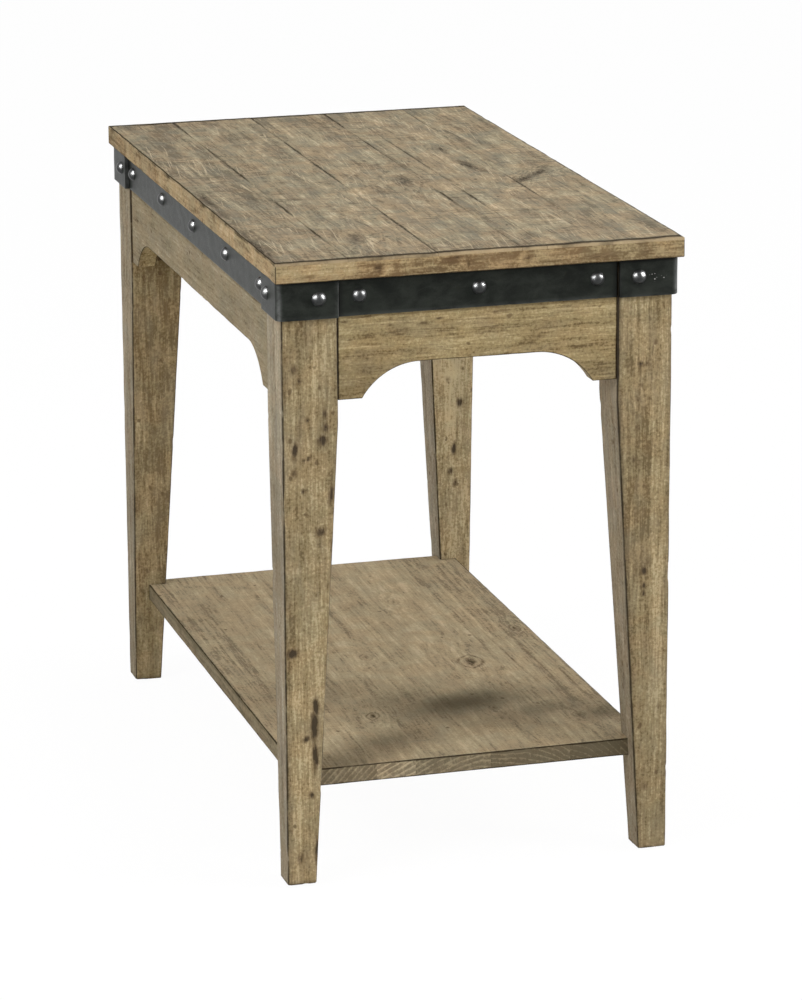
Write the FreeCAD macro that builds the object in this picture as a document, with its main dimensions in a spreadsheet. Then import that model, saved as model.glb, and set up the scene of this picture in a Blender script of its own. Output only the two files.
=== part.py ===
import FreeCAD, Part
import math
import os
import Sketcher
from FreeCAD import Placement, Rotation, Vector

# Chairside table in weathered pine: a planked top, a low arched frame on four tapered legs, a shelf
# housed in the legs and an iron band with domed nails. Millimetres; +X is right, -Y is the front,
# +Z is up, and the origin is on the floor under the middle of the top.

SIZES = {
    # Top: thin face planks on a core board with solid edging
    "top_width": 406.4,
    "top_depth": 728.0,
    "plank_thick": 3.0,
    "plank_gap": 0.3,
    "plank_ease": 0.8,
    "core_thick": 17.0,
    "edging_width": 19.0,
    "side_overhang": 7.9,
    "end_overhang": 11.7,
    # Legs: square above, the two inner faces tapered below
    "leg_length": 605.0,
    "leg_width": 55.5,
    "foot_width": 29.5,
    "taper_rise": 462.5,
    "leg_arris": 2.5,
    "foot_ease": 0.8,
    # Aprons with a shallow arch between two lobes
    "apron_depth": 119.5,
    "apron_thick": 20.0,
    "apron_setback": 1.8,
    "arch_rise": 32.5,
    "arch_shoulder": 81.0,
    "arch_radius": 66.0,
    # Dowels between aprons and legs
    "dowel_width": 10.0,
    "dowel_length": 44.0,
    "dowel_ease": 1.0,
    "dowel_low": 20.0,
    "dowel_high": 68.0,
    # Corner blocks, their lag screws and washers
    "block_thick": 22.0,
    "block_height": 45.0,
    "block_gap": 1.0,
    "lag_width": 6.0,
    "lag_length": 60.0,
    "lag_point": 5.0,
    "lag_head_width": 10.0,
    "lag_head_height": 4.0,
    "washer_width": 18.0,
    "washer_thick": 1.6,
    # Cleats and the wood screws that hold the top
    "cleat_width": 20.0,
    "cleat_length": 300.0,
    "cleat_screw_up": 60.0,
    "cleat_screw_side": 110.0,
    "block_screw_spread": 20.0,
    "screw_width": 4.2,
    "screw_length": 33.0,
    "screw_point": 4.0,
    "screw_head_width": 8.0,
    "screw_head_height": 2.6,
    "screw_head_room": 1.0,
    # Iron band: bent straps round the legs, flat straps on the aprons
    "strap_height": 37.5,
    "strap_drop": 0.3,
    "strap_thick": 2.4,
    "strap_end_gap": 0.8,
    "corner_strap_thick": 5.2,
    "corner_strap_bend": 7.6,
    # Domed nails
    "nail_head_width": 14.5,
    "nail_head_height": 5.0,
    "nail_width": 4.2,
    "nail_length": 19.0,
    "nail_point": 5.0,
    "nail_drop": 18.0,
    "end_nail_inset": 20.5,
    "side_nail_inset": 19.0,
    "corner_nail_inset": 36.0,
    # Shelf of edge-glued boards
    "shelf_rise": 112.0,
    "shelf_thick": 17.5,
    "shelf_inset": 17.0,
    "shelf_room": 0.3,
    # Nail-on glides under the feet
    "glide_width": 18.0,
    "glide_height": 2.0,
    "glide_pin_width": 2.2,
    "glide_pin_length": 14.0,
    # Fits
    "hole_clearance": 0.1,
    "hole_end_room": 1.0,
}

# Seams of the face planks, as shares of the top's width from the left and of its depth from the front
PLANK_SHARES = {
    "left_plank_front": (0.0, 0.1764, 0.0, 0.2143),
    "left_plank_middle": (0.0, 0.1764, 0.2143, 0.7081),
    "left_plank_back": (0.0, 0.1764, 0.7081, 1.0),
    "second_plank_front": (0.1764, 0.393, 0.0, 0.3805),
    "second_plank_back": (0.1764, 0.393, 0.3805, 1.0),
    "middle_plank": (0.393, 0.5972, 0.0, 1.0),
    "narrow_plank_front": (0.5972, 0.6587, 0.0, 0.3805),
    "narrow_plank_back": (0.5972, 0.6587, 0.3805, 0.8668),
    "fourth_plank_front": (0.6587, 0.8199, 0.0, 0.3805),
    "fourth_plank_middle": (0.6587, 0.8199, 0.3805, 0.8668),
    "fourth_plank_back": (0.5972, 0.8199, 0.8668, 1.0),
    "right_plank": (0.8199, 1.0, 0.0, 1.0),
}

# Seams of the shelf boards, as shares of the shelf's width from the left
SHELF_SEAM_SHARES = (0.0, 0.221, 0.332, 0.549, 0.78, 1.0)

# Each corner and each side, with its turn about the vertical from the front left corner or the front
CORNERS = {"front_left": 0, "front_right": 90, "back_right": 180, "back_left": 270}
SIDES = {"front": 0, "right": 90, "back": 180, "left": 270}
END_SIDES = ("front", "back")

# Sizes that follow from the driving ones
LEG_X = "(Sizes.top_width / 2 - Sizes.side_overhang)"
LEG_Y = "(Sizes.top_depth / 2 - Sizes.end_overhang)"
FRAME_TOP = "(Sizes.glide_height + Sizes.leg_length)"
APRON_BOTTOM = "(Sizes.leg_length - Sizes.apron_depth)"
APRON_MID = "(Sizes.apron_setback + Sizes.apron_thick / 2)"
APRON_INNER = "(Sizes.apron_setback + Sizes.apron_thick)"
DOWEL_DEPTH = "(Sizes.dowel_length / 2 + Sizes.hole_end_room)"
DOWEL_HOLE = "(Sizes.dowel_width + 2 * Sizes.hole_clearance)"
NAIL_HOLE = "(Sizes.nail_width + 2 * Sizes.hole_clearance)"
SCREW_HOLE = "(Sizes.screw_width + 2 * Sizes.hole_clearance)"
LAG_HOLE = "(Sizes.lag_width + 2 * Sizes.hole_clearance)"
PIN_HOLE = "(Sizes.glide_pin_width + 2 * Sizes.hole_clearance)"
SCREW_HEAD_HOLE = "(Sizes.screw_head_width + 2 * Sizes.screw_head_room)"
SCREW_BITE = "(Sizes.screw_length - Sizes.cleat_width + Sizes.hole_end_room)"
SCREW_SEAT = f"({FRAME_TOP} - Sizes.cleat_width)"
BLOCK_NEAR = "(Sizes.leg_width + Sizes.block_gap / sqrt(2))"
BLOCK_MID = "(Sizes.leg_width + (Sizes.block_gap + Sizes.block_thick / 2) / sqrt(2))"
BLOCK_FAR = "(Sizes.leg_width + (Sizes.block_gap + Sizes.block_thick) / sqrt(2))"
LAG_SEAT = f"({BLOCK_FAR} + Sizes.washer_thick / sqrt(2))"
LAG_BITE = "(Sizes.lag_length - Sizes.washer_thick - Sizes.block_thick - Sizes.block_gap)"
LAG_RISE = "(Sizes.leg_length - Sizes.block_height / 2)"
BLOCK_SCREW = "(Sizes.block_screw_spread / sqrt(2))"
SHELF_X = f"({LEG_X} - Sizes.shelf_inset)"
SHELF_Y = f"({LEG_Y} - Sizes.shelf_inset)"

# Sketcher's numbers for the points of a curve and for a sketch's own origin and axes
START, END, CENTRE = range(1, 4)
ORIGIN = H_AXIS = -START
V_AXIS = -END
UP = Vector(0, 0, 1)
ALONG_X = Vector(1, 0, 0)
ALONG_Y = Vector(0, 1, 0)

os.makedirs("parts", exist_ok=True)
doc = FreeCAD.newDocument("chairside_table")
sheet = doc.addObject("Spreadsheet::Sheet", "Sizes")
for row, (name, size) in enumerate(SIZES.items(), start=1):
    sheet.set(f"A{row}", name)
    sheet.set(f"B{row}", str(size))
    sheet.setAlias(f"B{row}", name)
doc.recompute()

nodes = []


def number(expression):
    """The present value of an expression, for drawing a sketch near its solved shape."""
    return float(sheet.evalExpression(expression))


def pin_point(sketch, piece, end, x, y):
    """Hold one point of a sketch at the place that two expressions give."""
    for kind, axis, place in (("DistanceX", V_AXIS, x), ("DistanceY", H_AXIS, y)):
        if place == "0":
            sketch.addConstraint(Sketcher.Constraint("PointOnObject", piece, end, axis))
            continue
        rule = Sketcher.Constraint(kind, ORIGIN, START, piece, end, number(place))
        index = sketch.addConstraint(rule)
        sketch.setExpression(f"Constraints[{index}]", place)


def arc_between(start, end, radius):
    """The short arc from start to end; a positive radius turns left, a negative one right."""
    chord = end - start
    side = Vector(-chord.y, chord.x, 0).normalize() * math.copysign(1, radius)
    rise = math.sqrt(radius ** 2 - (chord.Length / 2) ** 2)
    centre = (start + end) / 2 + side * rise
    circle = Part.Circle(centre, UP, abs(radius))
    first, last = (start, end) if radius > 0 else (end, start)
    angles = [math.atan2(p.y - centre.y, p.x - centre.x) for p in (first, last)]
    if angles[1] < angles[0]:
        angles[1] += 2 * math.pi
    return Part.ArcOfCircle(circle, *angles)


def draw_outline(sketch, points, arcs=None):
    """Draw a closed outline through points given as pairs of expressions.

    arcs gives, for the number of a stretch that is round, its turn (1 left, -1 right) and radius.
    """
    arcs = arcs or {}
    places = [Vector(number(x), number(y), 0) for x, y in points]
    ends = []
    for index, start in enumerate(places):
        end = places[(index + 1) % len(places)]
        if index not in arcs:
            ends.append((sketch.addGeometry(Part.LineSegment(start, end)), START, END))
            continue
        turn, radius = arcs[index]
        piece = sketch.addGeometry(arc_between(start, end, turn * number(radius)))
        ends.append((piece, START, END) if turn > 0 else (piece, END, START))
    for index, (piece, first, last) in enumerate(ends):
        following, next_first, _ = ends[(index + 1) % len(ends)]
        sketch.addConstraint(Sketcher.Constraint("Coincident", piece, last, following, next_first))
    for (piece, first, _), (x, y) in zip(ends, points):
        pin_point(sketch, piece, first, x, y)
    for index, (_, radius) in arcs.items():
        rule = Sketcher.Constraint("Radius", ends[index][0], number(radius))
        sketch.setExpression(f"Constraints[{sketch.addConstraint(rule)}]", radius)


def draw_circles(sketch, centres, width):
    """Draw a circle of one width round each centre."""
    for x, y in centres:
        middle = Vector(number(x), number(y), 0)
        piece = sketch.addGeometry(Part.Circle(middle, UP, number(width) / 2))
        pin_point(sketch, piece, CENTRE, x, y)
        rule = Sketcher.Constraint("Diameter", piece, number(width))
        sketch.setExpression(f"Constraints[{sketch.addConstraint(rule)}]", width)


def add_sketch(body, plane, name, shift=None, turn=None):
    """Add a sketch on one of the body's own planes, shifted and turned within that plane's frame."""
    sketch = body.newObject("Sketcher::SketchObject", f"{body.Name}_{name}")
    support = next(f for f in body.Origin.OriginFeatures if f.Role == plane)
    sketch.AttachmentSupport = (support, "")
    sketch.MapMode = "FlatFace"
    if turn:
        sketch.AttachmentOffset = Placement(Vector(), turn)
    for axis, place in (shift or {}).items():
        sketch.setExpression(f"AttachmentOffset.Base.{axis}", place)
    return sketch


def add_body(name):
    """Start a sub-part; its label names its file."""
    body = doc.addObject("PartDesign::Body", name)
    body.Label = name
    nodes.append(body)
    return body


def place(piece, x, y, z, turn=None):
    """Bind a piece's place in the table to expressions."""
    piece.Placement = Placement(Vector(), turn or Rotation())
    for axis, value in (("x", x), ("y", y), ("z", z)):
        piece.setExpression(f"Placement.Base.{axis}", value)


def pad(body, sketch, length, flip=False):
    """Extrude a sketch, against its normal when flipped."""
    feature = body.newObject("PartDesign::Pad", f"{sketch.Name}_pad")
    feature.Profile = sketch
    feature.Reversed = flip
    feature.setExpression("Length", length)
    sketch.Visibility = False
    return feature


def pocket(body, sketch, depth, flip=False):
    """Cut a sketch into the body against its normal, or along it when flipped."""
    feature = body.newObject("PartDesign::Pocket", f"{sketch.Name}_pocket")
    feature.Profile = sketch
    feature.Reversed = flip
    feature.setExpression("Length", depth)
    sketch.Visibility = False
    return feature


def turn_profile(body, name, points, arcs=None):
    """Turn a half profile about the vertical axis."""
    sketch = add_sketch(body, "XZ_Plane", name)
    draw_outline(sketch, points, arcs)
    feature = body.newObject("PartDesign::Revolution", f"{sketch.Name}_turned")
    feature.Profile = sketch
    feature.ReferenceAxis = (sketch, ["V_Axis"])
    feature.Angle = 360
    sketch.Visibility = False
    return feature


def drill(body, plane, name, centres, width, depth, shift=None, turn=None, flip=False):
    """Drill round holes against the sketch's normal, or along it when flipped."""
    sketch = add_sketch(body, plane, name, shift, turn)
    draw_circles(sketch, centres, width)
    return pocket(body, sketch, depth, flip)


def ease_edges(body, kind, name, size_name, size, wanted):
    """Round or bevel the edges of the body so far that a test picks."""
    doc.recompute()
    base = body.Tip
    picked = [f"Edge{i}" for i, edge in enumerate(base.Shape.Edges, start=1) if wanted(edge)]
    feature = body.newObject(kind, f"{body.Name}_{name}")
    feature.Base = (base, picked)
    feature.setExpression(size_name, size)
    return feature


def rectangle(x0, y0, x1, y1):
    return [(x0, y0), (x1, y0), (x1, y1), (x0, y1)]


def minus(expression):
    return "0" if expression == "0" else f"-({expression})"


def at_side(turn, along, out):
    """A place on the side with this turn: along to its right, and outward from the middle."""
    return {
        0: (along, minus(out)),
        90: (out, along),
        180: (minus(along), out),
        270: (minus(out), minus(along)),
    }[turn]


def at_corner(turn, first, second):
    """A place measured inward from the outer edge of the leg with this turn."""
    return {
        0: (f"{first} - {LEG_X}", f"{second} - {LEG_Y}"),
        90: (f"{LEG_X} - ({second})", f"{first} - {LEG_Y}"),
        180: (f"{LEG_X} - ({first})", f"{LEG_Y} - ({second})"),
        270: (f"{second} - {LEG_X}", f"{LEG_Y} - ({first})"),
    }[turn]


def side_face(side):
    """How far the outer faces of the legs on this side are from the middle."""
    return LEG_Y if side in END_SIDES else LEG_X


def side_reach(side):
    """Half the clear length between the two legs of this side."""
    across = LEG_X if side in END_SIDES else LEG_Y
    return f"({across} - Sizes.leg_width)"


def strap_reach(side):
    """Half the length of the flat strap on this side."""
    return f"({side_reach(side)} - Sizes.strap_end_gap)"


def nail_places(side):
    """Places of the domed nails along a flat strap, from its middle."""
    inset = "end_nail_inset" if side in END_SIDES else "side_nail_inset"
    last = f"({strap_reach(side)} - Sizes.{inset})"
    if side in END_SIDES:
        return [minus(last), "0", last]
    between = f"{last} / 2"
    return [minus(last), minus(between), "0", between, last]


def block_screw_places():
    """Places of the two upright screws in a corner block, in the leg's own frame."""
    return [(f"{BLOCK_MID} + {BLOCK_SCREW}", f"{BLOCK_MID} - {BLOCK_SCREW}"),
            (f"{BLOCK_MID} - {BLOCK_SCREW}", f"{BLOCK_MID} + {BLOCK_SCREW}")]


def cleat_middle():
    return f"({LEG_X} - {APRON_INNER} - Sizes.cleat_width / 2)"


def upright_screw_places():
    """Places of every screw that goes up into the top, in the table's frame."""
    places = []
    for turn in CORNERS.values():
        places += [at_corner(turn, first, second) for first, second in block_screw_places()]
    for x in (minus(cleat_middle()), cleat_middle()):
        places += [(x, minus("Sizes.cleat_screw_up")), (x, "Sizes.cleat_screw_up")]
    return places


def make_core():
    """Core board of the top, with pilot holes for the screws from below."""
    body = add_body("top_core")
    sketch = add_sketch(body, "XY_Plane", "board")
    half_width = "(Sizes.top_width / 2 - Sizes.edging_width)"
    half_depth = "(Sizes.top_depth / 2 - Sizes.edging_width)"
    draw_outline(sketch, rectangle(minus(half_width), minus(half_depth), half_width, half_depth))
    pad(body, sketch, "Sizes.core_thick")
    drill(body, "XY_Plane", "pilots", upright_screw_places(), SCREW_HOLE, SCREW_BITE, flip=True)
    place(body, "0", "0", FRAME_TOP)


def make_edging(side, turn):
    """Solid edging strip, mitred at both ends; its outer long edge is at y = 0."""
    across, out = ("top_width", "top_depth") if side in END_SIDES else ("top_depth", "top_width")
    body = add_body(f"{side}_edging")
    sketch = add_sketch(body, "XY_Plane", "strip")
    half = f"Sizes.{across} / 2"
    short = f"{half} - Sizes.edging_width"
    points = [(minus(half), "0"), (half, "0"), (short, "Sizes.edging_width"),
              (minus(short), "Sizes.edging_width")]
    draw_outline(sketch, points)
    pad(body, sketch, "Sizes.core_thick")
    place(body, *at_side(turn, "0", f"Sizes.{out} / 2"), FRAME_TOP, Rotation(UP, turn))


def make_plank(name, shares):
    """Face plank with eased long edges, which leave a groove between neighbours."""
    left, right, front, back = shares
    body = add_body(name)
    sketch = add_sketch(body, "XZ_Plane", "section")
    half = f"({right - left:.4f} * Sizes.top_width - Sizes.plank_gap) / 2"
    eased = f"{half} - Sizes.plank_ease"
    shoulder = "Sizes.plank_thick - Sizes.plank_ease"
    points = [(minus(half), "0"), (half, "0"), (half, shoulder), (eased, "Sizes.plank_thick"),
              (minus(eased), "Sizes.plank_thick"), (minus(half), shoulder)]
    draw_outline(sketch, points)
    feature = pad(body, sketch, f"{back - front:.4f} * Sizes.top_depth - Sizes.plank_gap")
    feature.Midplane = True
    x = f"{(left + right) / 2 - 0.5:.4f} * Sizes.top_width"
    y = f"{(front + back) / 2 - 0.5:.4f} * Sizes.top_depth"
    place(body, x, y, f"{FRAME_TOP} + Sizes.core_thick")


def make_leg(corner, turn):
    """Leg in its own frame: outer edge on the vertical axis, foot at z = 0, inward along +X and +Y."""
    body = add_body(f"{corner}_leg")
    blank = add_sketch(body, "XY_Plane", "blank")
    draw_outline(blank, rectangle("0", "0", "Sizes.leg_width", "Sizes.leg_width"))
    pad(body, blank, "Sizes.leg_length")
    wedge = [("Sizes.foot_width", "0"), ("Sizes.leg_width", "0"),
             ("Sizes.leg_width", "Sizes.taper_rise")]
    for plane, flip in (("XZ_Plane", False), ("YZ_Plane", True)):
        taper = add_sketch(body, plane, f"taper_{plane[:2]}")
        draw_outline(taper, wedge)
        pocket(body, taper, "Sizes.leg_width", flip)
    long_enough = number("Sizes.foot_width")
    near = number("Sizes.foot_ease")
    ease_edges(body, "PartDesign::Fillet", "arrises", "Radius", "Sizes.leg_arris",
               lambda edge: edge.BoundBox.ZLength > long_enough
               and min(edge.BoundBox.XMax, edge.BoundBox.YMax) < near)
    ease_edges(body, "PartDesign::Chamfer", "foot_edges", "Size", "Sizes.foot_ease",
               lambda edge: edge.BoundBox.ZMax < near)
    housing = add_sketch(body, "XY_Plane", "housing",
                         {"z": "Sizes.shelf_rise - Sizes.shelf_thick - Sizes.shelf_room"})
    corner_edge = "Sizes.shelf_inset - Sizes.shelf_room"
    draw_outline(housing, rectangle(corner_edge, corner_edge, "Sizes.leg_width", "Sizes.leg_width"))
    pocket(body, housing, "Sizes.shelf_thick + 2 * Sizes.shelf_room", True)
    heights = [f"{APRON_BOTTOM} + Sizes.dowel_low", f"{APRON_BOTTOM} + Sizes.dowel_high"]
    dowels = [(APRON_MID, z) for z in heights]
    drill(body, "YZ_Plane", "dowels_x", dowels, DOWEL_HOLE, DOWEL_DEPTH,
          {"z": "Sizes.leg_width"})
    drill(body, "XZ_Plane", "dowels_y", dowels, DOWEL_HOLE, DOWEL_DEPTH,
          {"z": minus("Sizes.leg_width")}, flip=True)
    nail = [("Sizes.corner_nail_inset", "Sizes.leg_length - Sizes.nail_drop")]
    nail_depth = "Sizes.nail_length - Sizes.corner_strap_thick + Sizes.hole_end_room"
    drill(body, "XZ_Plane", "nail_x", nail, NAIL_HOLE, nail_depth)
    drill(body, "YZ_Plane", "nail_y", nail, NAIL_HOLE, nail_depth, flip=True)
    inward = Rotation(ALONG_Y, 135)
    shift = {"x": "Sizes.leg_width", "y": LAG_RISE, "z": minus("Sizes.leg_width")}
    drill(body, "XZ_Plane", "lag", [("0", "0")], LAG_HOLE, f"{LAG_BITE} + Sizes.hole_end_room",
          shift, inward)
    centre = "Sizes.foot_width / 2"
    drill(body, "XY_Plane", "glide", [(centre, centre)], PIN_HOLE,
          "Sizes.glide_pin_length + Sizes.hole_end_room", flip=True)
    place(body, *at_corner(turn, "0", "0"), "Sizes.glide_height", Rotation(UP, turn))


def make_apron(side, turn):
    """Apron with its outer face at y = 0 and its lobes' underside at z = 0."""
    body = add_body(f"{side}_apron")
    half = side_reach(side)
    shoulder = f"{half} - Sizes.arch_shoulder"
    drop = "(Sizes.arch_radius - Sizes.arch_rise)"
    lobe = f"{shoulder} + sqrt(Sizes.arch_radius * Sizes.arch_radius - {drop} * {drop})"
    points = [(minus(half), "0"), (minus(lobe), "0"), (minus(shoulder), "Sizes.arch_rise"),
              (shoulder, "Sizes.arch_rise"), (lobe, "0"), (half, "0"),
              (half, "Sizes.apron_depth"), (minus(half), "Sizes.apron_depth")]
    arcs = {1: (-1, "Sizes.arch_radius"), 3: (-1, "Sizes.arch_radius")}
    sketch = add_sketch(body, "XZ_Plane", "board")
    draw_outline(sketch, points, arcs)
    pad(body, sketch, "Sizes.apron_thick", True)
    dowels = [("Sizes.apron_thick / 2", z) for z in ("Sizes.dowel_low", "Sizes.dowel_high")]
    drill(body, "YZ_Plane", "dowels_right", dowels, DOWEL_HOLE, DOWEL_DEPTH, {"z": half})
    drill(body, "YZ_Plane", "dowels_left", dowels, DOWEL_HOLE, DOWEL_DEPTH, {"z": minus(half)},
          flip=True)
    nails = [(x, "Sizes.apron_depth - Sizes.nail_drop") for x in nail_places(side)]
    drill(body, "XZ_Plane", "nails", nails, NAIL_HOLE,
          "Sizes.nail_length - Sizes.strap_thick + Sizes.hole_end_room")
    if side not in END_SIDES:
        height = "Sizes.apron_depth - Sizes.cleat_width / 2"
        screws = [(minus("Sizes.cleat_screw_side"), height), ("Sizes.cleat_screw_side", height)]
        drill(body, "XZ_Plane", "cleat_screws", screws, SCREW_HOLE, SCREW_BITE,
              {"z": minus("Sizes.apron_thick")}, flip=True)
    out = f"{side_face(side)} - Sizes.apron_setback"
    place(body, *at_side(turn, "0", out), f"Sizes.glide_height + {APRON_BOTTOM}",
          Rotation(UP, turn))


def make_corner_block(corner, turn):
    """Block across a corner of the frame, in the leg's frame, with its top at the frame's top."""
    body = add_body(f"{corner}_corner_block")
    sketch = add_sketch(body, "XY_Plane", "block")
    near = f"2 * {BLOCK_NEAR} - {APRON_INNER}"
    far = f"2 * {BLOCK_FAR} - {APRON_INNER}"
    draw_outline(sketch, [(near, APRON_INNER), (far, APRON_INNER), (APRON_INNER, far),
                          (APRON_INNER, near)])
    pad(body, sketch, "Sizes.block_height")
    drill(body, "XY_Plane", "screws", block_screw_places(), SCREW_HOLE, "Sizes.block_height",
          flip=True)
    drill(body, "XY_Plane", "screw_heads", block_screw_places(), SCREW_HEAD_HOLE,
          "Sizes.block_height - Sizes.cleat_width", flip=True)
    inward = Rotation(ALONG_Y, 135)
    shift = {"x": BLOCK_FAR, "y": "Sizes.block_height / 2", "z": minus(BLOCK_FAR)}
    drill(body, "XZ_Plane", "lag", [("0", "0")], LAG_HOLE, "Sizes.block_thick", shift, inward)
    place(body, *at_corner(turn, "0", "0"), f"{FRAME_TOP} - Sizes.block_height",
          Rotation(UP, turn))


def make_cleat(side, x):
    """Cleat along a side apron, under the top."""
    body = add_body(f"{side}_cleat")
    sketch = add_sketch(body, "XY_Plane", "bar")
    half_width = "Sizes.cleat_width / 2"
    half_length = "Sizes.cleat_length / 2"
    draw_outline(sketch, rectangle(minus(half_width), minus(half_length), half_width, half_length))
    pad(body, sketch, "Sizes.cleat_width")
    upright = [("0", minus("Sizes.cleat_screw_up")), ("0", "Sizes.cleat_screw_up")]
    drill(body, "XY_Plane", "upright", upright, SCREW_HOLE, "Sizes.cleat_width", flip=True)
    level = [(minus("Sizes.cleat_screw_side"), half_width), ("Sizes.cleat_screw_side", half_width)]
    drill(body, "YZ_Plane", "level", level, SCREW_HOLE, "Sizes.cleat_width", {"z": half_width})
    place(body, x, "0", SCREW_SEAT)


def make_corner_strap(corner, turn):
    """Iron strap bent round a leg, in the leg's frame, as wide as the leg on both faces."""
    body = add_body(f"{corner}_corner_strap")
    sketch = add_sketch(body, "XY_Plane", "section")
    out = "Sizes.corner_strap_thick"
    bend = f"Sizes.corner_strap_bend - {out}"
    points = [(bend, minus(out)), ("Sizes.leg_width", minus(out)), ("Sizes.leg_width", "0"),
              (bend, "0"), ("0", bend), ("0", "Sizes.leg_width"), (minus(out), "Sizes.leg_width"),
              (minus(out), bend)]
    draw_outline(sketch, points, {3: (-1, bend), 7: (1, "Sizes.corner_strap_bend")})
    pad(body, sketch, "Sizes.strap_height")
    nail = [("Sizes.corner_nail_inset", "Sizes.strap_height + Sizes.strap_drop - Sizes.nail_drop")]
    drill(body, "XZ_Plane", "nail_x", nail, NAIL_HOLE, out, {"z": out})
    drill(body, "YZ_Plane", "nail_y", nail, NAIL_HOLE, out, {"z": minus(out)}, flip=True)
    rise = f"{FRAME_TOP} - Sizes.strap_drop - Sizes.strap_height"
    place(body, *at_corner(turn, "0", "0"), rise, Rotation(UP, turn))


def make_strap(side, turn):
    """Flat iron strap on an apron; its back is at y = 0."""
    body = add_body(f"{side}_strap")
    sketch = add_sketch(body, "XZ_Plane", "bar")
    half = strap_reach(side)
    draw_outline(sketch, rectangle(minus(half), "0", half, "Sizes.strap_height"))
    pad(body, sketch, "Sizes.strap_thick")
    height = "Sizes.strap_height + Sizes.strap_drop - Sizes.nail_drop"
    drill(body, "XZ_Plane", "nails", [(x, height) for x in nail_places(side)], NAIL_HOLE,
          "Sizes.strap_thick", {"z": "Sizes.strap_thick"})
    out = f"{side_face(side)} - Sizes.apron_setback"
    place(body, *at_side(turn, "0", out),
          f"{FRAME_TOP} - Sizes.strap_drop - Sizes.strap_height", Rotation(UP, turn))


def make_shelf_board(index, left, right):
    """Board of the shelf, edge to edge with its neighbours."""
    body = add_body(f"shelf_board_{index}")
    sketch = add_sketch(body, "XY_Plane", "board")
    half_width = f"{(right - left) / 2:.4f} * 2 * {SHELF_X}"
    draw_outline(sketch, rectangle(minus(half_width), minus(SHELF_Y), half_width, SHELF_Y))
    pad(body, sketch, "Sizes.shelf_thick")
    x = f"{(left + right) / 2 - 0.5:.4f} * 2 * {SHELF_X}"
    place(body, x, "0", "Sizes.glide_height + Sizes.shelf_rise - Sizes.shelf_thick")


def pointed_shank(width, length, point):
    """Half profile of a shank that ends in a point, from its tip up to z = 0."""
    radius = f"Sizes.{width} / 2"
    return [("0", minus(f"Sizes.{length}")), (radius, f"Sizes.{point} - Sizes.{length}"),
            (radius, "0")]


def pattern_body(name):
    """Body of one fastener, kept out of the list of nodes; its group below is the node."""
    return doc.addObject("PartDesign::Body", name)


def make_nail():
    """Domed nail: its head is a cap of a sphere, seated at z = 0."""
    body = pattern_body("nail")
    rim = "Sizes.nail_head_width / 2"
    crown = "Sizes.nail_head_height"
    sphere = f"({rim} * {rim} + {crown} * {crown}) / (2 * {crown})"
    points = pointed_shank("nail_width", "nail_length", "nail_point") + [(rim, "0"), ("0", crown)]
    turn_profile(body, "profile", points, {3: (1, sphere)})
    return body


def make_wood_screw():
    """Wood screw with a flat-topped head, seated at z = 0."""
    body = pattern_body("wood_screw")
    rim = "Sizes.screw_head_width / 2"
    crown = "Sizes.screw_head_height"
    points = pointed_shank("screw_width", "screw_length", "screw_point")
    turn_profile(body, "profile", points + [(rim, "0"), (rim, crown), ("0", crown)])
    return body


def make_lag_screw():
    """Lag screw with a six-sided head, seated at z = 0."""
    body = pattern_body("lag_screw")
    crown = "Sizes.lag_head_height"
    points = pointed_shank("lag_width", "lag_length", "lag_point")
    radius = "Sizes.lag_width / 2"
    turn_profile(body, "shank", points[:-1] + [(radius, crown), ("0", crown)])
    head = add_sketch(body, "XY_Plane", "head")
    corner = "Sizes.lag_head_width / sqrt(3)"
    flat = "Sizes.lag_head_width / 2"
    short = f"{corner} / 2"
    draw_outline(head, [(corner, "0"), (short, flat), (minus(short), flat), (minus(corner), "0"),
                        (minus(short), minus(flat)), (short, minus(flat))])
    pad(body, head, crown)
    return body


def make_washer():
    """Flat washer, with its underside at z = 0."""
    body = pattern_body("washer")
    inner = f"{LAG_HOLE} / 2"
    outer = "Sizes.washer_width / 2"
    turn_profile(body, "profile", rectangle(inner, "0", outer, "Sizes.washer_thick"))
    return body


def make_dowel():
    """Dowel with eased ends, centred on the joint."""
    body = pattern_body("dowel")
    radius = "Sizes.dowel_width / 2"
    end = "Sizes.dowel_length / 2"
    small = f"{radius} - Sizes.dowel_ease"
    low = f"Sizes.dowel_ease - {end}"
    turn_profile(body, "profile", [("0", minus(end)), (small, minus(end)), (radius, low),
                                   (radius, minus(low)), (small, end), ("0", end)])
    return body


def make_glide():
    """Nail-on glide: a low steel dome on the floor and a pin up into the foot."""
    body = pattern_body("glide")
    rim = "Sizes.glide_width / 2"
    rise = "Sizes.glide_height"
    foot = f"{rim} - {rise}"
    pin = "Sizes.glide_pin_width / 2"
    tip = f"{rise} + Sizes.glide_pin_length"
    shoulder = f"{tip} - Sizes.glide_pin_width"
    points = [("0", "0"), (foot, "0"), (rim, rise), (pin, rise), (pin, shoulder), ("0", tip)]
    turn_profile(body, "profile", points, {1: (1, rise)})
    return body


def make_group(name, pattern, places):
    """One node of identical fasteners, each a solid of its own at its place."""
    copies = []
    for index, (x, y, z, turn) in enumerate(places, start=1):
        copy = doc.addObject("App::Link", f"{name}_{index}")
        copy.LinkedObject = pattern
        place(copy, x, y, z, turn)
        copies.append(copy)
    group = doc.addObject("Part::Compound", name)
    group.Links = copies
    group.Label = name
    nodes.append(group)


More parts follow.
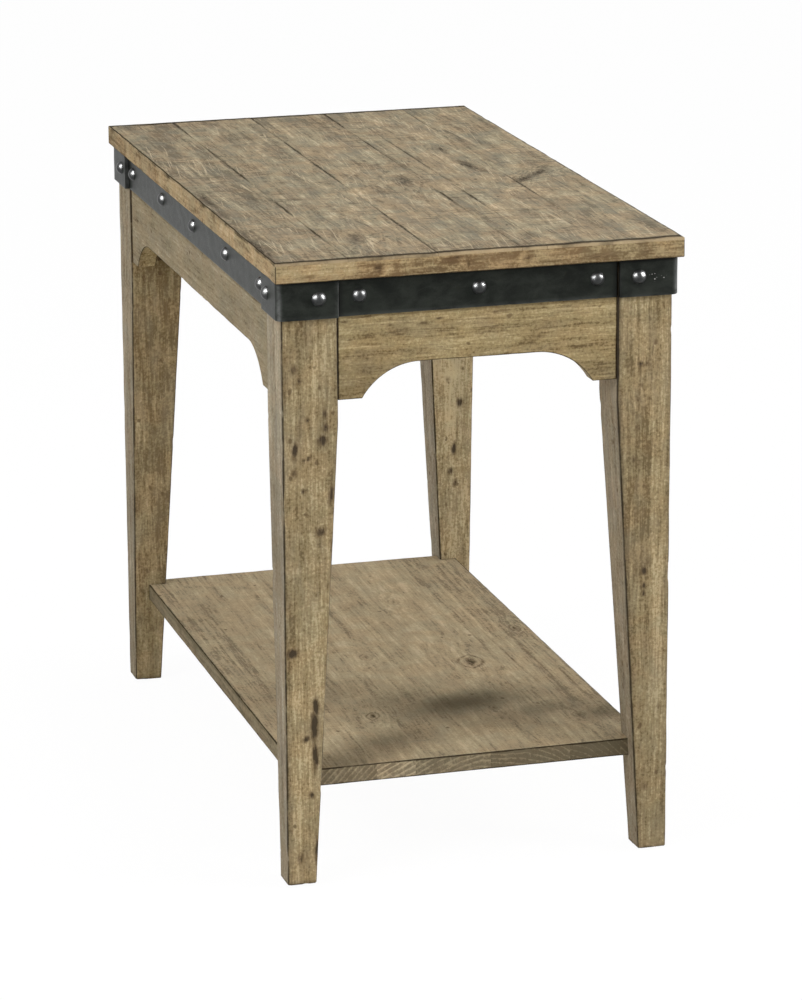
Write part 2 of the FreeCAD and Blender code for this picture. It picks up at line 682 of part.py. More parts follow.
def nail_group():
    """Every nail of the iron band, its head outward."""
    height = f"{FRAME_TOP} - Sizes.nail_drop"
    places = []
    for side, turn in SIDES.items():
        out = f"{side_face(side)} - Sizes.apron_setback + Sizes.strap_thick"
        outward = Rotation(UP, turn) * Rotation(ALONG_X, 90)
        for along in nail_places(side):
            places.append((*at_side(turn, along, out), height, outward))
    inset = "Sizes.corner_nail_inset"
    proud = minus("Sizes.corner_strap_thick")
    for turn in CORNERS.values():
        first = Rotation(UP, turn) * Rotation(ALONG_X, 90)
        second = Rotation(UP, turn) * Rotation(ALONG_Y, -90)
        places.append((*at_corner(turn, inset, proud), height, first))
        places.append((*at_corner(turn, proud, inset), height, second))
    return places


def dowel_group():
    """Two dowels at each end of each apron."""
    places = []
    for turn in CORNERS.values():
        for step in ("Sizes.dowel_low", "Sizes.dowel_high"):
            height = f"Sizes.glide_height + {APRON_BOTTOM} + {step}"
            first = Rotation(UP, turn) * Rotation(ALONG_Y, 90)
            second = Rotation(UP, turn) * Rotation(ALONG_X, 90)
            places.append((*at_corner(turn, "Sizes.leg_width", APRON_MID), height, first))
            places.append((*at_corner(turn, APRON_MID, "Sizes.leg_width"), height, second))
    return places


def diagonal_group(seat):
    """One piece at each corner block, its head towards the middle of the table."""
    height = f"Sizes.glide_height + {LAG_RISE}"
    tilt = Rotation(ALONG_Y, 90)
    return [(*at_corner(turn, seat, seat), height, Rotation(UP, turn + 45) * tilt)
            for turn in CORNERS.values()]


def screw_group():
    """Screws up through the blocks and cleats, and sideways through the cleats."""
    head_down = Rotation(ALONG_X, 180)
    places = [(x, y, SCREW_SEAT, head_down) for x, y in upright_screw_places()]
    face = f"({cleat_middle()} - Sizes.cleat_width / 2)"
    height = f"{SCREW_SEAT} + Sizes.cleat_width / 2"
    for x, head in ((face, -90), (minus(face), 90)):
        for y in (minus("Sizes.cleat_screw_side"), "Sizes.cleat_screw_side"):
            places.append((x, y, height, Rotation(ALONG_Y, head)))
    return places


def glide_group():
    centre = "Sizes.foot_width / 2"
    return [(*at_corner(turn, centre, centre), "0", Rotation()) for turn in CORNERS.values()]


make_core()
for side_name, side_turn in SIDES.items():
    make_edging(side_name, side_turn)
    make_apron(side_name, side_turn)
    make_strap(side_name, side_turn)
for plank_name, plank_shares in PLANK_SHARES.items():
    make_plank(plank_name, plank_shares)
for corner_name, corner_turn in CORNERS.items():
    make_leg(corner_name, corner_turn)
    make_corner_block(corner_name, corner_turn)
    make_corner_strap(corner_name, corner_turn)
make_cleat("left", minus(cleat_middle()))
make_cleat("right", cleat_middle())
for number_from_left, seams in enumerate(zip(SHELF_SEAM_SHARES, SHELF_SEAM_SHARES[1:]), start=1):
    make_shelf_board(number_from_left, *seams)
make_group("strap_nails", make_nail(), nail_group())
make_group("apron_dowels", make_dowel(), dowel_group())
make_group("lag_screws", make_lag_screw(), diagonal_group(LAG_SEAT))
make_group("lag_washers", make_washer(), diagonal_group(BLOCK_FAR))
make_group("wood_screws", make_wood_screw(), screw_group())
make_group("floor_glides", make_glide(), glide_group())
doc.recompute()

faults = [f"{item.Name}: {item.State}" for item in doc.Objects
          if "Invalid" in item.State or "Error" in item.State]
faults += [f"{node.Label} has no valid shape" for node in nodes
           if node.Shape.isNull() or not node.Shape.isValid()]
if faults:
    raise RuntimeError("; ".join(faults))
idle = [item.Name for item in doc.Objects if item.TypeId == "PartDesign::Pocket"
        and not item.Shape.Volume < item.BaseFeature.Shape.Volume]
if idle:
    raise RuntimeError(f"these cut nothing: {idle}")

for node in nodes:
    node.Shape.exportStep(f"parts/{node.Label}.step")
print(f"{len(nodes)} nodes")
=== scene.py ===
import itertools
import math
import zlib

import bpy
import numpy as np
from mathutils import Matrix, Vector


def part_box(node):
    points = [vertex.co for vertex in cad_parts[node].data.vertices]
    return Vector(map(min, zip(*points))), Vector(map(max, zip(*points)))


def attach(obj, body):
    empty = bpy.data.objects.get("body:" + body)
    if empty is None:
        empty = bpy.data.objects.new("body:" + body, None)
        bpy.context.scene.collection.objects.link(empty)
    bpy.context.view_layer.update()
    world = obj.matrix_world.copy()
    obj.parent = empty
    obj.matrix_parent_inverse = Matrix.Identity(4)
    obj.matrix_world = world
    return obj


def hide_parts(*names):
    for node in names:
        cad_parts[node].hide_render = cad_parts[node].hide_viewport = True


# Looks of the chairside table: worn pine boards, legs and shelf, and an iron band with domed nails.
# Shapes are worked out in millimetres from the CAD frame; +Z is up and -Y is the front.

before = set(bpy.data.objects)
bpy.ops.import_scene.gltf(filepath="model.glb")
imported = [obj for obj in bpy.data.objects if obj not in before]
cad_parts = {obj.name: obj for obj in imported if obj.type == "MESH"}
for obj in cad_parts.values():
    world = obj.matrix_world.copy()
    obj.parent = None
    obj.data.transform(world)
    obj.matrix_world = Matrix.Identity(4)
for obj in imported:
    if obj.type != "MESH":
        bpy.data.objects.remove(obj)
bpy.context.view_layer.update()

MM = 0.001
TINY = 1e-9
X, Y, Z = range(3)

# Camera, as fitted to the photograph's edges, in metres and degrees; lens in millimetres
CAMERA_TARGET = Vector((0.00261, -0.07026, 0.302))
CAMERA_DISTANCE = 4.39987
CAMERA_AZIMUTH = -16.04
CAMERA_RISE = 15.74
CAMERA_ROLL = -0.29
CAMERA_LENS = 153.61

# Lines of a grid next to a round edge, as shares of its radius
EDGE_SHARES = np.array([0, 0.3, 0.6, 1, 1.7])
# Cells after which the noise repeats, and how far from an arris its distance is still told
LATTICE = 32
EDGE_REACH = 12.0
# Rise of the rings along a board, its cell across, through and along the grain, and their swelling
# round a knot, which reaches this many halves of the knot
FIGURE = 5.0
FIGURE_CELL = (48.0, 70.0, 190.0)
KNOT_SWELL = 13.0
KNOT_REACH = 3.0

CORNERS = {"front_left": (-1, -1), "front_right": (1, -1), "back_right": (1, 1), "back_left": (-1, 1)}
SIDES = ("front", "right", "back", "left")
# Order of the table's axes as across, through and along the grain
GRAIN_ALONG_Y = (X, Z, Y)
GRAIN_ALONG_Z = (X, Y, Z)

# Grid steps along X, Y and Z, or along, out of and up a side of the table
PLANK_STEPS = (1.7, 2.6, 1.5)
EDGING_STEPS = (4.0, 5.0, 3.0)
LEG_STEPS = (2.2, 3.5, 2.6)
APRON_STEPS = (3.6, 4.0, 2.6)
SHELF_STEPS = (3.0, 5.0, 3.0)
STRAP_STEPS = (4.0, 1.0, 3.0)
BENT_STRAP_STEPS = (3.5, 1.2, 3.0)

# Wear: waves as their noise's cell and depth; dents as its cell, its least value and their depth
RIM_DENTS = ((26, 26, 60), 0.35, 2.5)
PLANK_WAVE = ((14, 70, 40), 0.12)
PLANK_RIPPLE = ((5, 12, 40), 0.06)
LEG_WAVE = ((16, 16, 60), 0.1)
LEG_DENTS = ((9, 9, 14), 0.62, 2.2)
APRON_WAVE = ((50, 50, 14), 0.08)
APRON_DENTS = ((12, 12, 8), 0.66, 1.6)
SHELF_WAVE = ((18, 90, 40), 0.07)

# Top: radii of its rim and seams, finer grid lines in a zone along the rim, and wear of its ends
RIM_RADIUS = 1.5
SEAM_RADIUS = 0.6
RIM_STEP = 1.0
RIM_ZONE = 10.0
END_WEAR = 0.25

# Marks on the top: place, length, width, turn from +X in degrees and strength
TOP_DARK_MARKS = (
    (-87, -205, 60, 10, 95, 0.55), (-100, -275, 50, 16, 70, 0.7), (105, 120, 46, 8, 90, 0.8),
    (107, 38, 56, 12, 95, 0.95), (140, -50, 42, 12, 50, 0.9), (165, -22, 44, 12, 50, 0.85),
    (22, -20, 52, 18, 80, 0.8), (-20, -70, 26, 22, 60, 0.5), (-80, 20, 70, 12, 97, 0.5),
    (-195, -60, 90, 9, 90, 0.8), (-196, -130, 50, 8, 90, 0.7), (-148, -65, 46, 16, 100, 0.6),
    (-150, 110, 80, 10, 90, 0.35), (-168, 240, 110, 20, 90, 0.45), (140, 170, 90, 12, 88, 0.5),
    (140, 60, 120, 9, 92, 0.4), (130, -190, 150, 14, 88, 0.5), (138, -270, 90, 16, 95, 0.5),
    (95, -215, 60, 22, 90, 0.45), (195, 250, 180, 12, 90, 0.4), (-90, 260, 60, 20, 80, 0.4),
    (-60, 180, 90, 26, 95, 0.3), (100, 275, 40, 30, 0, 0.45), (60, -90, 90, 9, 92, 0.35),
    (-199, -290, 130, 8, 90, 0.85), (-199, -215, 70, 6, 90, 0.65),
)
TOP_PALE_MARKS = (
    (-73, 20, 110, 4, 98, 0.8), (-64, -130, 150, 4, 98, 0.7), (-115, -255, 110, 5, 84, 0.8),
    (-92, -300, 50, 8, 80, 0.9), (-20, 25, 80, 4, 58, 0.7), (-35, -20, 60, 3, 48, 0.6),
    (-142, -10, 60, 5, 100, 0.7), (-152, 230, 120, 5, 88, 0.5), (-90, 230, 80, 5, 85, 0.4),
    (92, 95, 70, 5, 96, 0.85), (96, 30, 60, 4, 98, 0.7), (103, -30, 90, 3, 98, 0.6),
    (104, -190, 100, 4, 92, 0.6), (170, -45, 50, 6, 62, 0.7), (110, 280, 60, 5, 90, 0.5),
    (-40, 280, 110, 5, 92, 0.4), (20, -190, 140, 6, 88, 0.3), (175, 120, 160, 6, 90, 0.35),
    (-165, 40, 90, 5, 94, 0.45),
)
# How deep the marks dip, how the top gets lighter to the right, reach and strength of the soil along
# its rim, and how much wider than given its dark marks are painted
TOP_DIP = 0.3
TOP_RISE = 0.0003
RIM_SOIL = (75.0, 0.13)
MARK_SPREAD = 1.35
# A dark mark shorter than this is a knot, and the rings swell round it
KNOT_LONGEST = 61
LENGTH_OF_MARK = 2

# Knots on the shelf, and the soft dark painted shadows of the legs and top on it, in the same order
SHELF_KNOTS = (
    (83, -52, 46, 26, 80, 0.95), (64, 176, 24, 12, 80, 0.6), (-18, -6, 26, 14, 80, 0.7),
    (163, 46, 26, 11, 90, 0.9), (-64, -195, 26, 13, 70, 1.0), (62, -205, 18, 11, 90, 0.75),
    (137, -250, 20, 12, 90, 0.8), (150, -40, 260, 5, 90, 0.62), (128, -60, 200, 4, 91, 0.6),
    (112, -10, 180, 4, 89, 0.58), (165, -120, 160, 4, 90, 0.55), (10, 140, 200, 4, 90, 0.5),
    (-40, 60, 160, 4, 91, 0.5),
)
SHELF_PAINTED_SHADOWS = (
    (36, -180, 150, 84, 12, 1.15), (-20, -150, 120, 80, 25, 0.58), (112, -222, 140, 56, 8, 0.66),
    (165, -250, 90, 60, 10, 0.75), (-75, -275, 120, 56, 30, 0.68), (-130, -320, 110, 60, 20, 0.58),
    (-95, -110, 130, 80, 10, 0.45), (-150, 180, 120, 60, 60, 0.25), (-130, 60, 160, 50, 90, 0.12),
    (10, -330, 160, 26, 0, 0.17),
)

# Marks on the front faces of the legs: x, z, length, width, turn and strength
LEG_DARK_MARKS = (
    (-156, 450, 13, 12, 60, 0.85), (-153, 462, 10, 9, 90, 0.75), (-153, 475, 13, 6, 90, 0.65),
    (-183, 442, 18, 6, 80, 0.95), (-183, 521, 14, 8, 90, 0.7), (-178, 509, 10, 6, 60, 0.7),
    (-172, 432, 13, 5, 30, 0.8), (-171, 471, 8, 6, 90, 0.7), (-184, 419, 9, 7, 90, 0.7),
    (-175, 401, 8, 6, 90, 0.65), (-148, 395, 20, 6, 80, 0.9), (-158, 359, 14, 12, 20, 0.7),
    (-188, 240, 13, 10, 20, 1.0), (-165, 184, 18, 6, 90, 1.15), (-167, 164, 36, 8, 88, 1.0),
    (-166, 134, 28, 6, 90, 0.95), (-175, 152, 10, 6, 45, 0.8), (-170, 94, 8, 6, 90, 0.7),
    (-182, 30, 14, 8, 90, 0.6), (-166, 38, 40, 5, 90, 0.75), (164, 501, 8, 6, 90, 0.75),
    (170, 501, 7, 5, 90, 0.6), (165, 480, 7, 5, 90, 0.65), (161, 466, 6, 5, 90, 0.65),
    (172, 467, 6, 5, 90, 0.65), (161, 438, 7, 5, 90, 0.65), (158, 406, 9, 6, 90, 0.5),
    (163, 402, 8, 6, 90, 0.5), (169, 292, 8, 9, 0, 0.85), (174, 303, 14, 5, 85, 0.5),
    (169, 277, 9, 6, 90, 0.75), (169, 269, 7, 5, 90, 0.75), (171, 68, 8, 8, 90, 0.5),
    (187, 150, 12, 6, 90, 0.5),
)
BACK_LEG_DARK_MARKS = (
    (180, 300, 12, 8, 90, 0.85), (174, 246, 17, 6, 85, 0.85), (170, 219, 9, 8, 90, 0.85),
    (176, 205, 12, 6, 80, 0.7), (166, 328, 8, 7, 90, 0.6),
)
LEG_SMUDGES = (
    (-154, 470, 90, 16, 90, 0.35), (-166, 150, 90, 14, 90, 0.3), (-168, 340, 300, 60, 90, 0.15),
    (-176, 545, 60, 40, 90, 0.18), (160, 405, 34, 22, 90, 0.16), (172, 300, 60, 24, 90, 0.16),
    (176, 60, 90, 34, 90, 0.16),
)

# Pits on the front apron, and soil on the lobes of each: place along it, z, length, width, turn and
# strength
APRON_DARK_MARKS = (
    (-55, 557, 12, 4, 0, 0.95), (-39, 561, 11, 4, 0, 0.95), (-88, 557, 9, 4, 0, 0.6),
    (18, 563, 9, 4, 0, 0.8), (26, 564, 10, 4, 0, 0.9), (92, 550, 14, 4, 0, 0.6),
    (-20, 541, 16, 4, 3, 0.5), (60, 536, 18, 4, 0, 0.5),
)
APRON_SMUDGES = (
    (-125, 500, 80, 60, 0, 0.36), (125, 500, 60, 50, 0, 0.12), (0, 598, 240, 16, 0, 0.12),
)

# Knots on the front edging: x, z, length, width, turn and strength
EDGING_DARK_MARKS = (
    (-103, 616, 13, 12, 90, 0.95), (-128, 610, 60, 5, 0, 0.5), (-60, 611, 70, 7, 2, 0.65),
    (-28, 620, 30, 8, 10, 0.85), (-14, 614, 16, 7, 70, 0.8), (18, 621, 40, 4, 0, 0.6),
    (45, 616, 16, 12, 90, 0.85), (66, 613, 34, 7, 0, 0.6), (118, 612, 40, 8, 175, 0.75),
    (165, 614, 22, 7, 5, 0.6), (-170, 612, 30, 6, 0, 0.55), (192, 611, 20, 6, 0, 0.5),
)

# Colours of the woods, linear: deep, middle and light wood, grey weathering, dark glaze that also paints
# shadows and shade, brown knots, worn arrises and the painted sheen of the side faces; then how much each
# kind of figure shows, and the dark line along an arris: how far in it wanders and its width, in millimetres.
# WOOD holds what most of them share.
WOOD = dict(grey_share=0.4, side=(0.3, 0.24, 0.16), side_share=0.0, ring_pitch=0.0052, scratch=0.1,
            stroke=0.034, dash=0.014, hue=0.5, gloss=0.02, saw=0.0)
LOOKS = {
    "plank_wood": dict(
        WOOD, deep=(0.205, 0.167, 0.115), middle=(0.405, 0.327, 0.214), light=(0.665, 0.55, 0.372),
        grey=(0.245, 0.22, 0.165), grey_share=0.75, glaze_and_shade=(0.075, 0.058, 0.036),
        knot=(0.125, 0.10, 0.07), worn=(0.43, 0.32, 0.18), ring=0.22, fibre=1.1, streak=1.0,
        band=0.7, patch=1.1, brush=0.7, grit=0.9, specks=0.1, dashes=0.6, smears=0.4, scratch=0.7,
        line=(0.3, 1.2), line_width=1.6, stroke=0.085, dash=0.05, hue=1.0, gloss=0.01, saw=0.6),
    "edging_wood": dict(
        WOOD, deep=(0.15, 0.098, 0.047), middle=(0.355, 0.262, 0.137), light=(0.56, 0.435, 0.258),
        grey=(0.25, 0.18, 0.10), glaze_and_shade=(0.05, 0.036, 0.018),
        knot=(0.105, 0.06, 0.026), worn=(0.36, 0.265, 0.145), side=(0.27, 0.21, 0.132),
        side_share=0.35, ring_pitch=0.004, ring=0.08, fibre=1.2, streak=0.9, band=0.2, patch=1.7,
        brush=0.4, grit=1.1, specks=0.2, dashes=0.45, smears=0.3, line=(0.0, 0.5), line_width=0.9,
        dash=0.02, hue=1.0),
    "leg_wood": dict(
        WOOD, deep=(0.133, 0.093, 0.044), middle=(0.277, 0.21, 0.11), light=(0.455, 0.366, 0.216),
        grey=(0.235, 0.195, 0.13), grey_share=0.35, glaze_and_shade=(0.04, 0.029, 0.017),
        knot=(0.105, 0.068, 0.033), worn=(0.29, 0.245, 0.17), side=(0.272, 0.235, 0.177),
        side_share=0.6, ring_pitch=0.0042, ring=0.10, fibre=1.5, streak=1.1, band=0.9, patch=0.9,
        brush=0.3, grit=1.5, specks=0.8, dashes=0.3, smears=0.12, line=(0.2, 1.1), line_width=1.4,
        hue=0.6),
    "apron_wood": dict(
        WOOD, deep=(0.112, 0.074, 0.032), middle=(0.28, 0.209, 0.101), light=(0.44, 0.348, 0.187),
        grey=(0.235, 0.193, 0.12), grey_share=0.35, glaze_and_shade=(0.042, 0.03, 0.016),
        knot=(0.115, 0.075, 0.036), worn=(0.27, 0.225, 0.15), side=(0.265, 0.226, 0.156),
        side_share=0.6, ring_pitch=0.006, ring=0.14, fibre=1.3, streak=1.0, band=0.5, patch=1.0,
        brush=0.2, grit=1.3, specks=0.4, dashes=0.75, smears=0.2, line=(0.0, 0.7), line_width=0.9),
    "shelf_wood": dict(
        WOOD, deep=(0.222, 0.175, 0.112), middle=(0.43, 0.344, 0.216), light=(0.57, 0.463, 0.298),
        grey=(0.32, 0.27, 0.185), glaze_and_shade=(0.055, 0.045, 0.025),
        knot=(0.15, 0.105, 0.06), worn=(0.25, 0.20, 0.125), ring=0.16, fibre=1.1, streak=1.1,
        band=0.9, patch=0.9, brush=0.1, grit=1.1, specks=0.08, dashes=0.45, smears=0.3, scratch=0.3,
        line=(0.0, 0.8), line_width=1.2, stroke=0.08, dash=0.045, gloss=0.01),
}
WARM_TINT = (1.045, 0.985, 0.93)
COOL_TINT = (0.955, 1.0, 1.0)
LINE_GLAZE = (0.024, 0.017, 0.009)
END_RING = -0.6
# How much calmer the figure is on the side faces, under their painted sheen
SIDE_CALM = 0.45

# Iron: dark and light mottling, roughness and gloss; then rubbed places with painted highlights, painted
# shade with soot, and chipped places
BAND_IRON = ((0.0075, 0.0092, 0.0072), (0.0185, 0.0216, 0.0172), 0.36, 0.065)
NAIL_IRON = ((0.006, 0.007, 0.007), (0.016, 0.018, 0.017), 0.34, 0.3)
# Light iron of rubbed edges, which also paints highlights on the bends and ends of the straps
RUBBED_AND_HIGHLIT_IRON = (0.13, 0.135, 0.13)
# Near-black of the painted shadow under the top's rim and of the painted shade, with dirt, at the strap ends
SOOT_AND_SHADE = (0.002, 0.002, 0.002)
# Top of the band's painted shadow under the rim of the top, in metres
RIM_SHADOW_TOP = 0.6065
CHIPPED_IRON = (0.45, 0.44, 0.42)
# Chips in the band's finish: x, z, length, width, turn and strength
IRON_SPECKS = ((-85, 590, 18, 9, 0, 1.0), (179, 588, 26, 9, 0, 1.0))

# Edging: how it darkens towards its far end, and near one place of the front, by reach and strength
EDGING_FALL = -0.11
EDGING_SOIL_PLACE = -15.0
EDGING_SOIL = (75.0, 0.2)

# Legs: sizes, then marks and soil, painted light and painted shade, some with reach and strength; a point
# this near a face is on it
LEG_RADIUS = 2.5
LEG_FOOT = 29.5
LEG_TAPER_RISE = 462.5
HOUSING_ROOM = 0.5
JOINT_DEPTH = 119.0
JOINT_GLAZE = 0.95
FACE_DEPTH = 4.0
# The legs' side faces are painted this much lighter, for how light falls on them
LEG_SIDE_PAINTED_LIGHT = 0.03
LEG_MARK_DEPTH = 1.45
RIGHT_ARRIS_FADE = 1.8
ARRIS_SOIL = (5.0, 0.4)
FOOT_SOIL = (5.0, 0.75)
# Painted shadow on the wood under the iron band: reach and strength
STRAP_SHADE = (3.0, 0.5)
RUB_REACH = 4.5
SIDE_FOOT_SOIL = 0.32
SIDE_SOIL_HEIGHT = 350.0
SIDE_SOIL_REACH = 80.0
# Each corner: tone of its leg, soil low on the leg, on its outer side and on its inner side, how dark
# its inner arris is rubbed, and the painted highlight at the ends of its strap, instead of painted shade
CORNER_LOOKS = {
    "front_left": dict(tone=0.03, soil=0.08, side_soil=0.4, inner_soil=0.0, rub=0.25, shine=0.8),
    "front_right": dict(tone=-0.05, soil=0.32, side_soil=0.0, inner_soil=0.04, rub=0.5, shine=0.1),
    "back_right": dict(tone=0.22, soil=0.1, side_soil=0.05, inner_soil=0.3, rub=0.2, shine=0.4),
    "back_left": dict(tone=-0.14, soil=0.1, side_soil=0.0, inner_soil=0.0, rub=0.2, shine=0.4),
}

# Aprons and shelf; painted shade on the side aprons, each board's tone, and the soil on its ends
ARCH_RISE = 32.5
ARCH_SHOULDER = 81.0
ARCH_RADIUS = 66.0
APRON_RADIUS = 1.2
SIDE_APRON_SHADE = 0.2
SHELF_RADIUS = 1.0
SHELF_TONES = {"shelf_board_1": (-0.04, 0.75), "shelf_board_2": (0.06, 0.4), "shelf_board_3": (0.0, 0.75),
               "shelf_board_4": (0.05, 0.95), "shelf_board_5": (-0.08, 1.1)}
SHELF_SIDE_SOIL = 0.76
SHELF_EDGE_TONE = -0.15
END_SOIL_TONE = -0.45
END_SOIL_SHARE = 0.84
SHELF_JOINT_RADIUS = 0.2

# Iron band and its nails; the number of nails in a strap, and how far in from its ends they sit
IRON_RADIUS = 0.7
IRON_WAVE = 0.12
LOWER_EDGE_SHINE = (1.2, 0.3)
STRAP_THICK = 5.2
STRAP_BEND = 7.6
NAIL_WIDTH = 14.5
NAIL_CROWN = 5.0
NAIL_SHANK = 4.2
NAIL_LENGTH = 19.0
NAIL_POINT = 5.0
NAIL_POINTS_ROUND = 32
NAIL_DROP = 17.7
END_NAILS = (3, 20.5)
SIDE_NAILS = (5, 19.0)
CORNER_NAIL_INSET = 36.0

# Lamps: azimuth from the front to the right, rise, power in watts and size in metres
SOFTBOXES = {"left_softbox": (-64, 30, 27, 0.85), "right_softbox": (54, 24, 30, 0.85)}
GLINTS = {"left_glint": (-64, 30, 1400, 2.0), "right_glint": (72, 30, 1900, 2.0)}
LAMP_AIM = 0.4
LAMP_DISTANCE = 3.2
WORLD_LIGHT = 0.68
FLOOR_GLOW = 0.96
FLOOR_REACH = 12.0


# Shapes

def box_of(node):
    """Lowest and highest corner of a CAD node, in millimetres."""
    low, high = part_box(node)
    return np.array(low) / MM, np.array(high) / MM


def axes_of(side):
    """The axis along a side of the table, and the one that points out of it."""
    return (X, Y) if side in ("front", "back") else (Y, X)


def in_axes(side, along, out, up):
    """Values along, out of and up a side of the table, in the order of the table's axes."""
    return (along, out, up) if axes_of(side) == (X, Y) else (out, along, up)


def between(values, low, high):
    """Places from low to high as shares from 0 to 1."""
    return np.clip((values - low) / (high - low), 0, 1)


def bell(distance, reach, strength=1.0):
    """Full strength at no distance, and soft to nothing past about twice the reach."""
    return strength * np.exp(-(distance / reach) ** 2)


def spaced(lines, least=0.05):
    """Sorted lines, without those that come too close after another."""
    lines = np.unique(lines.round(3))
    return lines[np.concatenate([[True], np.diff(lines) > least])]


def edge_lines(low, high, step, radius):
    """Places from low to high, about a step apart and closer inside the rounded edges."""
    near = radius * EDGE_SHARES
    near = near[near < 0.45 * (high - low)]
    first = low + near[-1]
    last = high - near[-1]
    count = max(2, math.ceil((last - first) / step) + 1)
    places = [low + near, np.linspace(first, last, count), high - near]
    return np.unique(np.concatenate(places).round(4))


def box_lines(low, high, steps, radius):
    """Grid lines of a box along each axis."""
    return [edge_lines(low[axis], high[axis], steps[axis], radius) for axis in (X, Y, Z)]


def box_surface(lines):
    """Points and outward quads of a closed box, whose six faces are grids on the lines of each axis."""
    points = []
    quads = []
    start = 0
    for axis in (X, Y, Z):
        first = (axis + 1) % 3
        second = (axis + 2) % 3
        across, along = np.meshgrid(lines[first], lines[second], indexing="ij")
        for level, outward in ((lines[axis][0], False), (lines[axis][-1], True)):
            face = np.empty((across.size, 3))
            face[:, axis] = level
            face[:, first] = across.ravel()
            face[:, second] = along.ravel()
            index = start + np.arange(across.size).reshape(across.shape)
            corners = [index[:-1, :-1], index[1:, :-1], index[1:, 1:], index[:-1, 1:]]
            if not outward:
                corners.reverse()
            quads.append(np.stack([corner.ravel() for corner in corners], axis=1))
            points.append(face)
            start += across.size
    points = np.concatenate(points)
    _, kept, merged = np.unique(points.round(5), axis=0, return_index=True, return_inverse=True)
    return points[kept], merged.ravel()[np.concatenate(quads)]


def field(points, cell, seed):
    """Smooth noise between -1 and 1; cell is its size in millimetres, or its size along each axis."""
    lattice = np.random.default_rng(seed).uniform(-1, 1, (LATTICE, LATTICE, LATTICE))
    places = points / np.broadcast_to(np.asarray(cell, float), (3,))
    base = np.floor(places).astype(int)
    part = places - base
    part = part * part * (3 - 2 * part)
    total = np.zeros(len(points))
    for corner in itertools.product((0, 1), repeat=3):
        share = np.prod(np.where(corner, part, 1 - part), axis=1)
        first, second, third = ((base + corner) % LATTICE).T
        total += share * lattice[first, second, third]
    return total


def waves(points, seed, cell, depth):
    """Slow hollows, up to twice this deep."""
    return depth * (1 + field(points, cell, seed))


def dents(points, seed, cell, least, depth):
    """Scattered dents, where the noise is above its least."""
    return np.maximum(0, field(points, cell, seed) - least) * depth


def trim_edges(points, low, high, radius):
    """Points pulled in onto a box with round edges, and the outward direction at each of them."""
    radius = np.broadcast_to(radius, len(points))[:, None]
    core = np.clip(points, low + radius, high - radius)
    out = points - core
    length = np.maximum(np.linalg.norm(out, axis=1, keepdims=True), TINY)
    return core + out * np.minimum(1, radius / length), out / length


def edge_distance(points, low, high):
    """How far each point on a box lies from the nearest edge of that box."""
    faces = np.minimum(points - low, high - points)
    return np.sort(faces, axis=1)[:, 1]


def from_mark(points, mark, axes, spread=1.0):
    """Places along and across a mark from its middle, as shares of half its size, and its strength."""
    first, second = points[:, axes[0]], points[:, axes[1]]
    x, y, length, width, turn, strength = mark
    c = math.cos(math.radians(turn))
    s = math.sin(math.radians(turn))
    along = ((first - x) * c + (second - y) * s) / (spread * length / 2)
    across = ((second - y) * c - (first - x) * s) / (spread * width / 2)
    return along, across, strength


def paint(points, marks, axes=(X, Y), spread=1.0):
    """Strength of soft elliptical marks on the face along these axes."""
    total = np.zeros(len(points))
    for mark in marks:
        along, across, strength = from_mark(points, mark, axes, spread)
        total = np.maximum(total, strength * np.exp(-(along ** 2 + across ** 2)))
    return total


def paint_lenses(points, marks):
    """Dark heart with its thin outline, and the pale halo round it, of lens-shaped knots on a board."""
    dark = np.zeros(len(points))
    halo = np.zeros(len(points))
    for mark in marks:
        along, across, strength = from_mark(points, mark, (X, Y))
        reach = np.abs(across) + along ** 2
        heart = np.exp(-(1.8 * reach) ** 2)
        dark = np.maximum(dark, strength * np.maximum(heart, bell(reach - 1, 0.22, 0.7)))
        halo = np.maximum(halo, bell(reach - 1.6, 0.35, 0.7))
    return dark, halo


def seed_of(name):
    return zlib.crc32(name.encode())


def grain_space(name, points, order, through=60.0, knots=()):
    """Each point across, through and along the grain, in the board's own place in its log.

    The rings rise and fall along the board, and swell round knots given as marks on its upper face.
    """
    random = np.random.default_rng(seed_of(name))
    shift = np.array([random.uniform(-40, 40), through * random.uniform(0.7, 1.5),
                      random.uniform(0, 9000)])
    cell = np.empty(3)
    cell[list(order)] = FIGURE_CELL
    grain = points[:, order] + shift
    grain[:, 1] += FIGURE * field(points, cell, seed_of(name) % 1000 + 7)
    for knot in knots:
        along, across, strength = from_mark(points, knot, (X, Y), KNOT_REACH)
        grain[:, 1] += KNOT_SWELL * strength * np.exp(-(along ** 2 + across ** 2))
    return grain


# Objects

def add_object(name, points, faces, material=None):
    """Add a mesh whose points are given in millimetres."""
    mesh = bpy.data.meshes.new(name)
    mesh.from_pydata((points * MM).tolist(), [], faces)
    if material:
        mesh.materials.append(material)
    thing = bpy.data.objects.new(name, mesh)
    bpy.context.collection.objects.link(thing)
    return thing


def add_piece(name, points, faces, slot, node):
    """Add a smooth piece of the table that stands for a CAD node."""
    piece = add_object(name, points, faces, materials[slot])
    piece.data.shade_smooth()
    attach(piece, "root")
    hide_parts(node)
    return piece


def store(piece, label, *parts):
    """Store three numbers at each point of a piece, for its material."""
    values = np.empty((len(piece.data.vertices), 3), np.float32)
    for column, part in enumerate(parts):
        values[:, column] = part
    layer = piece.data.attributes.new(label, "FLOAT_VECTOR", "POINT")
    layer.data.foreach_set("vector", values.ravel())


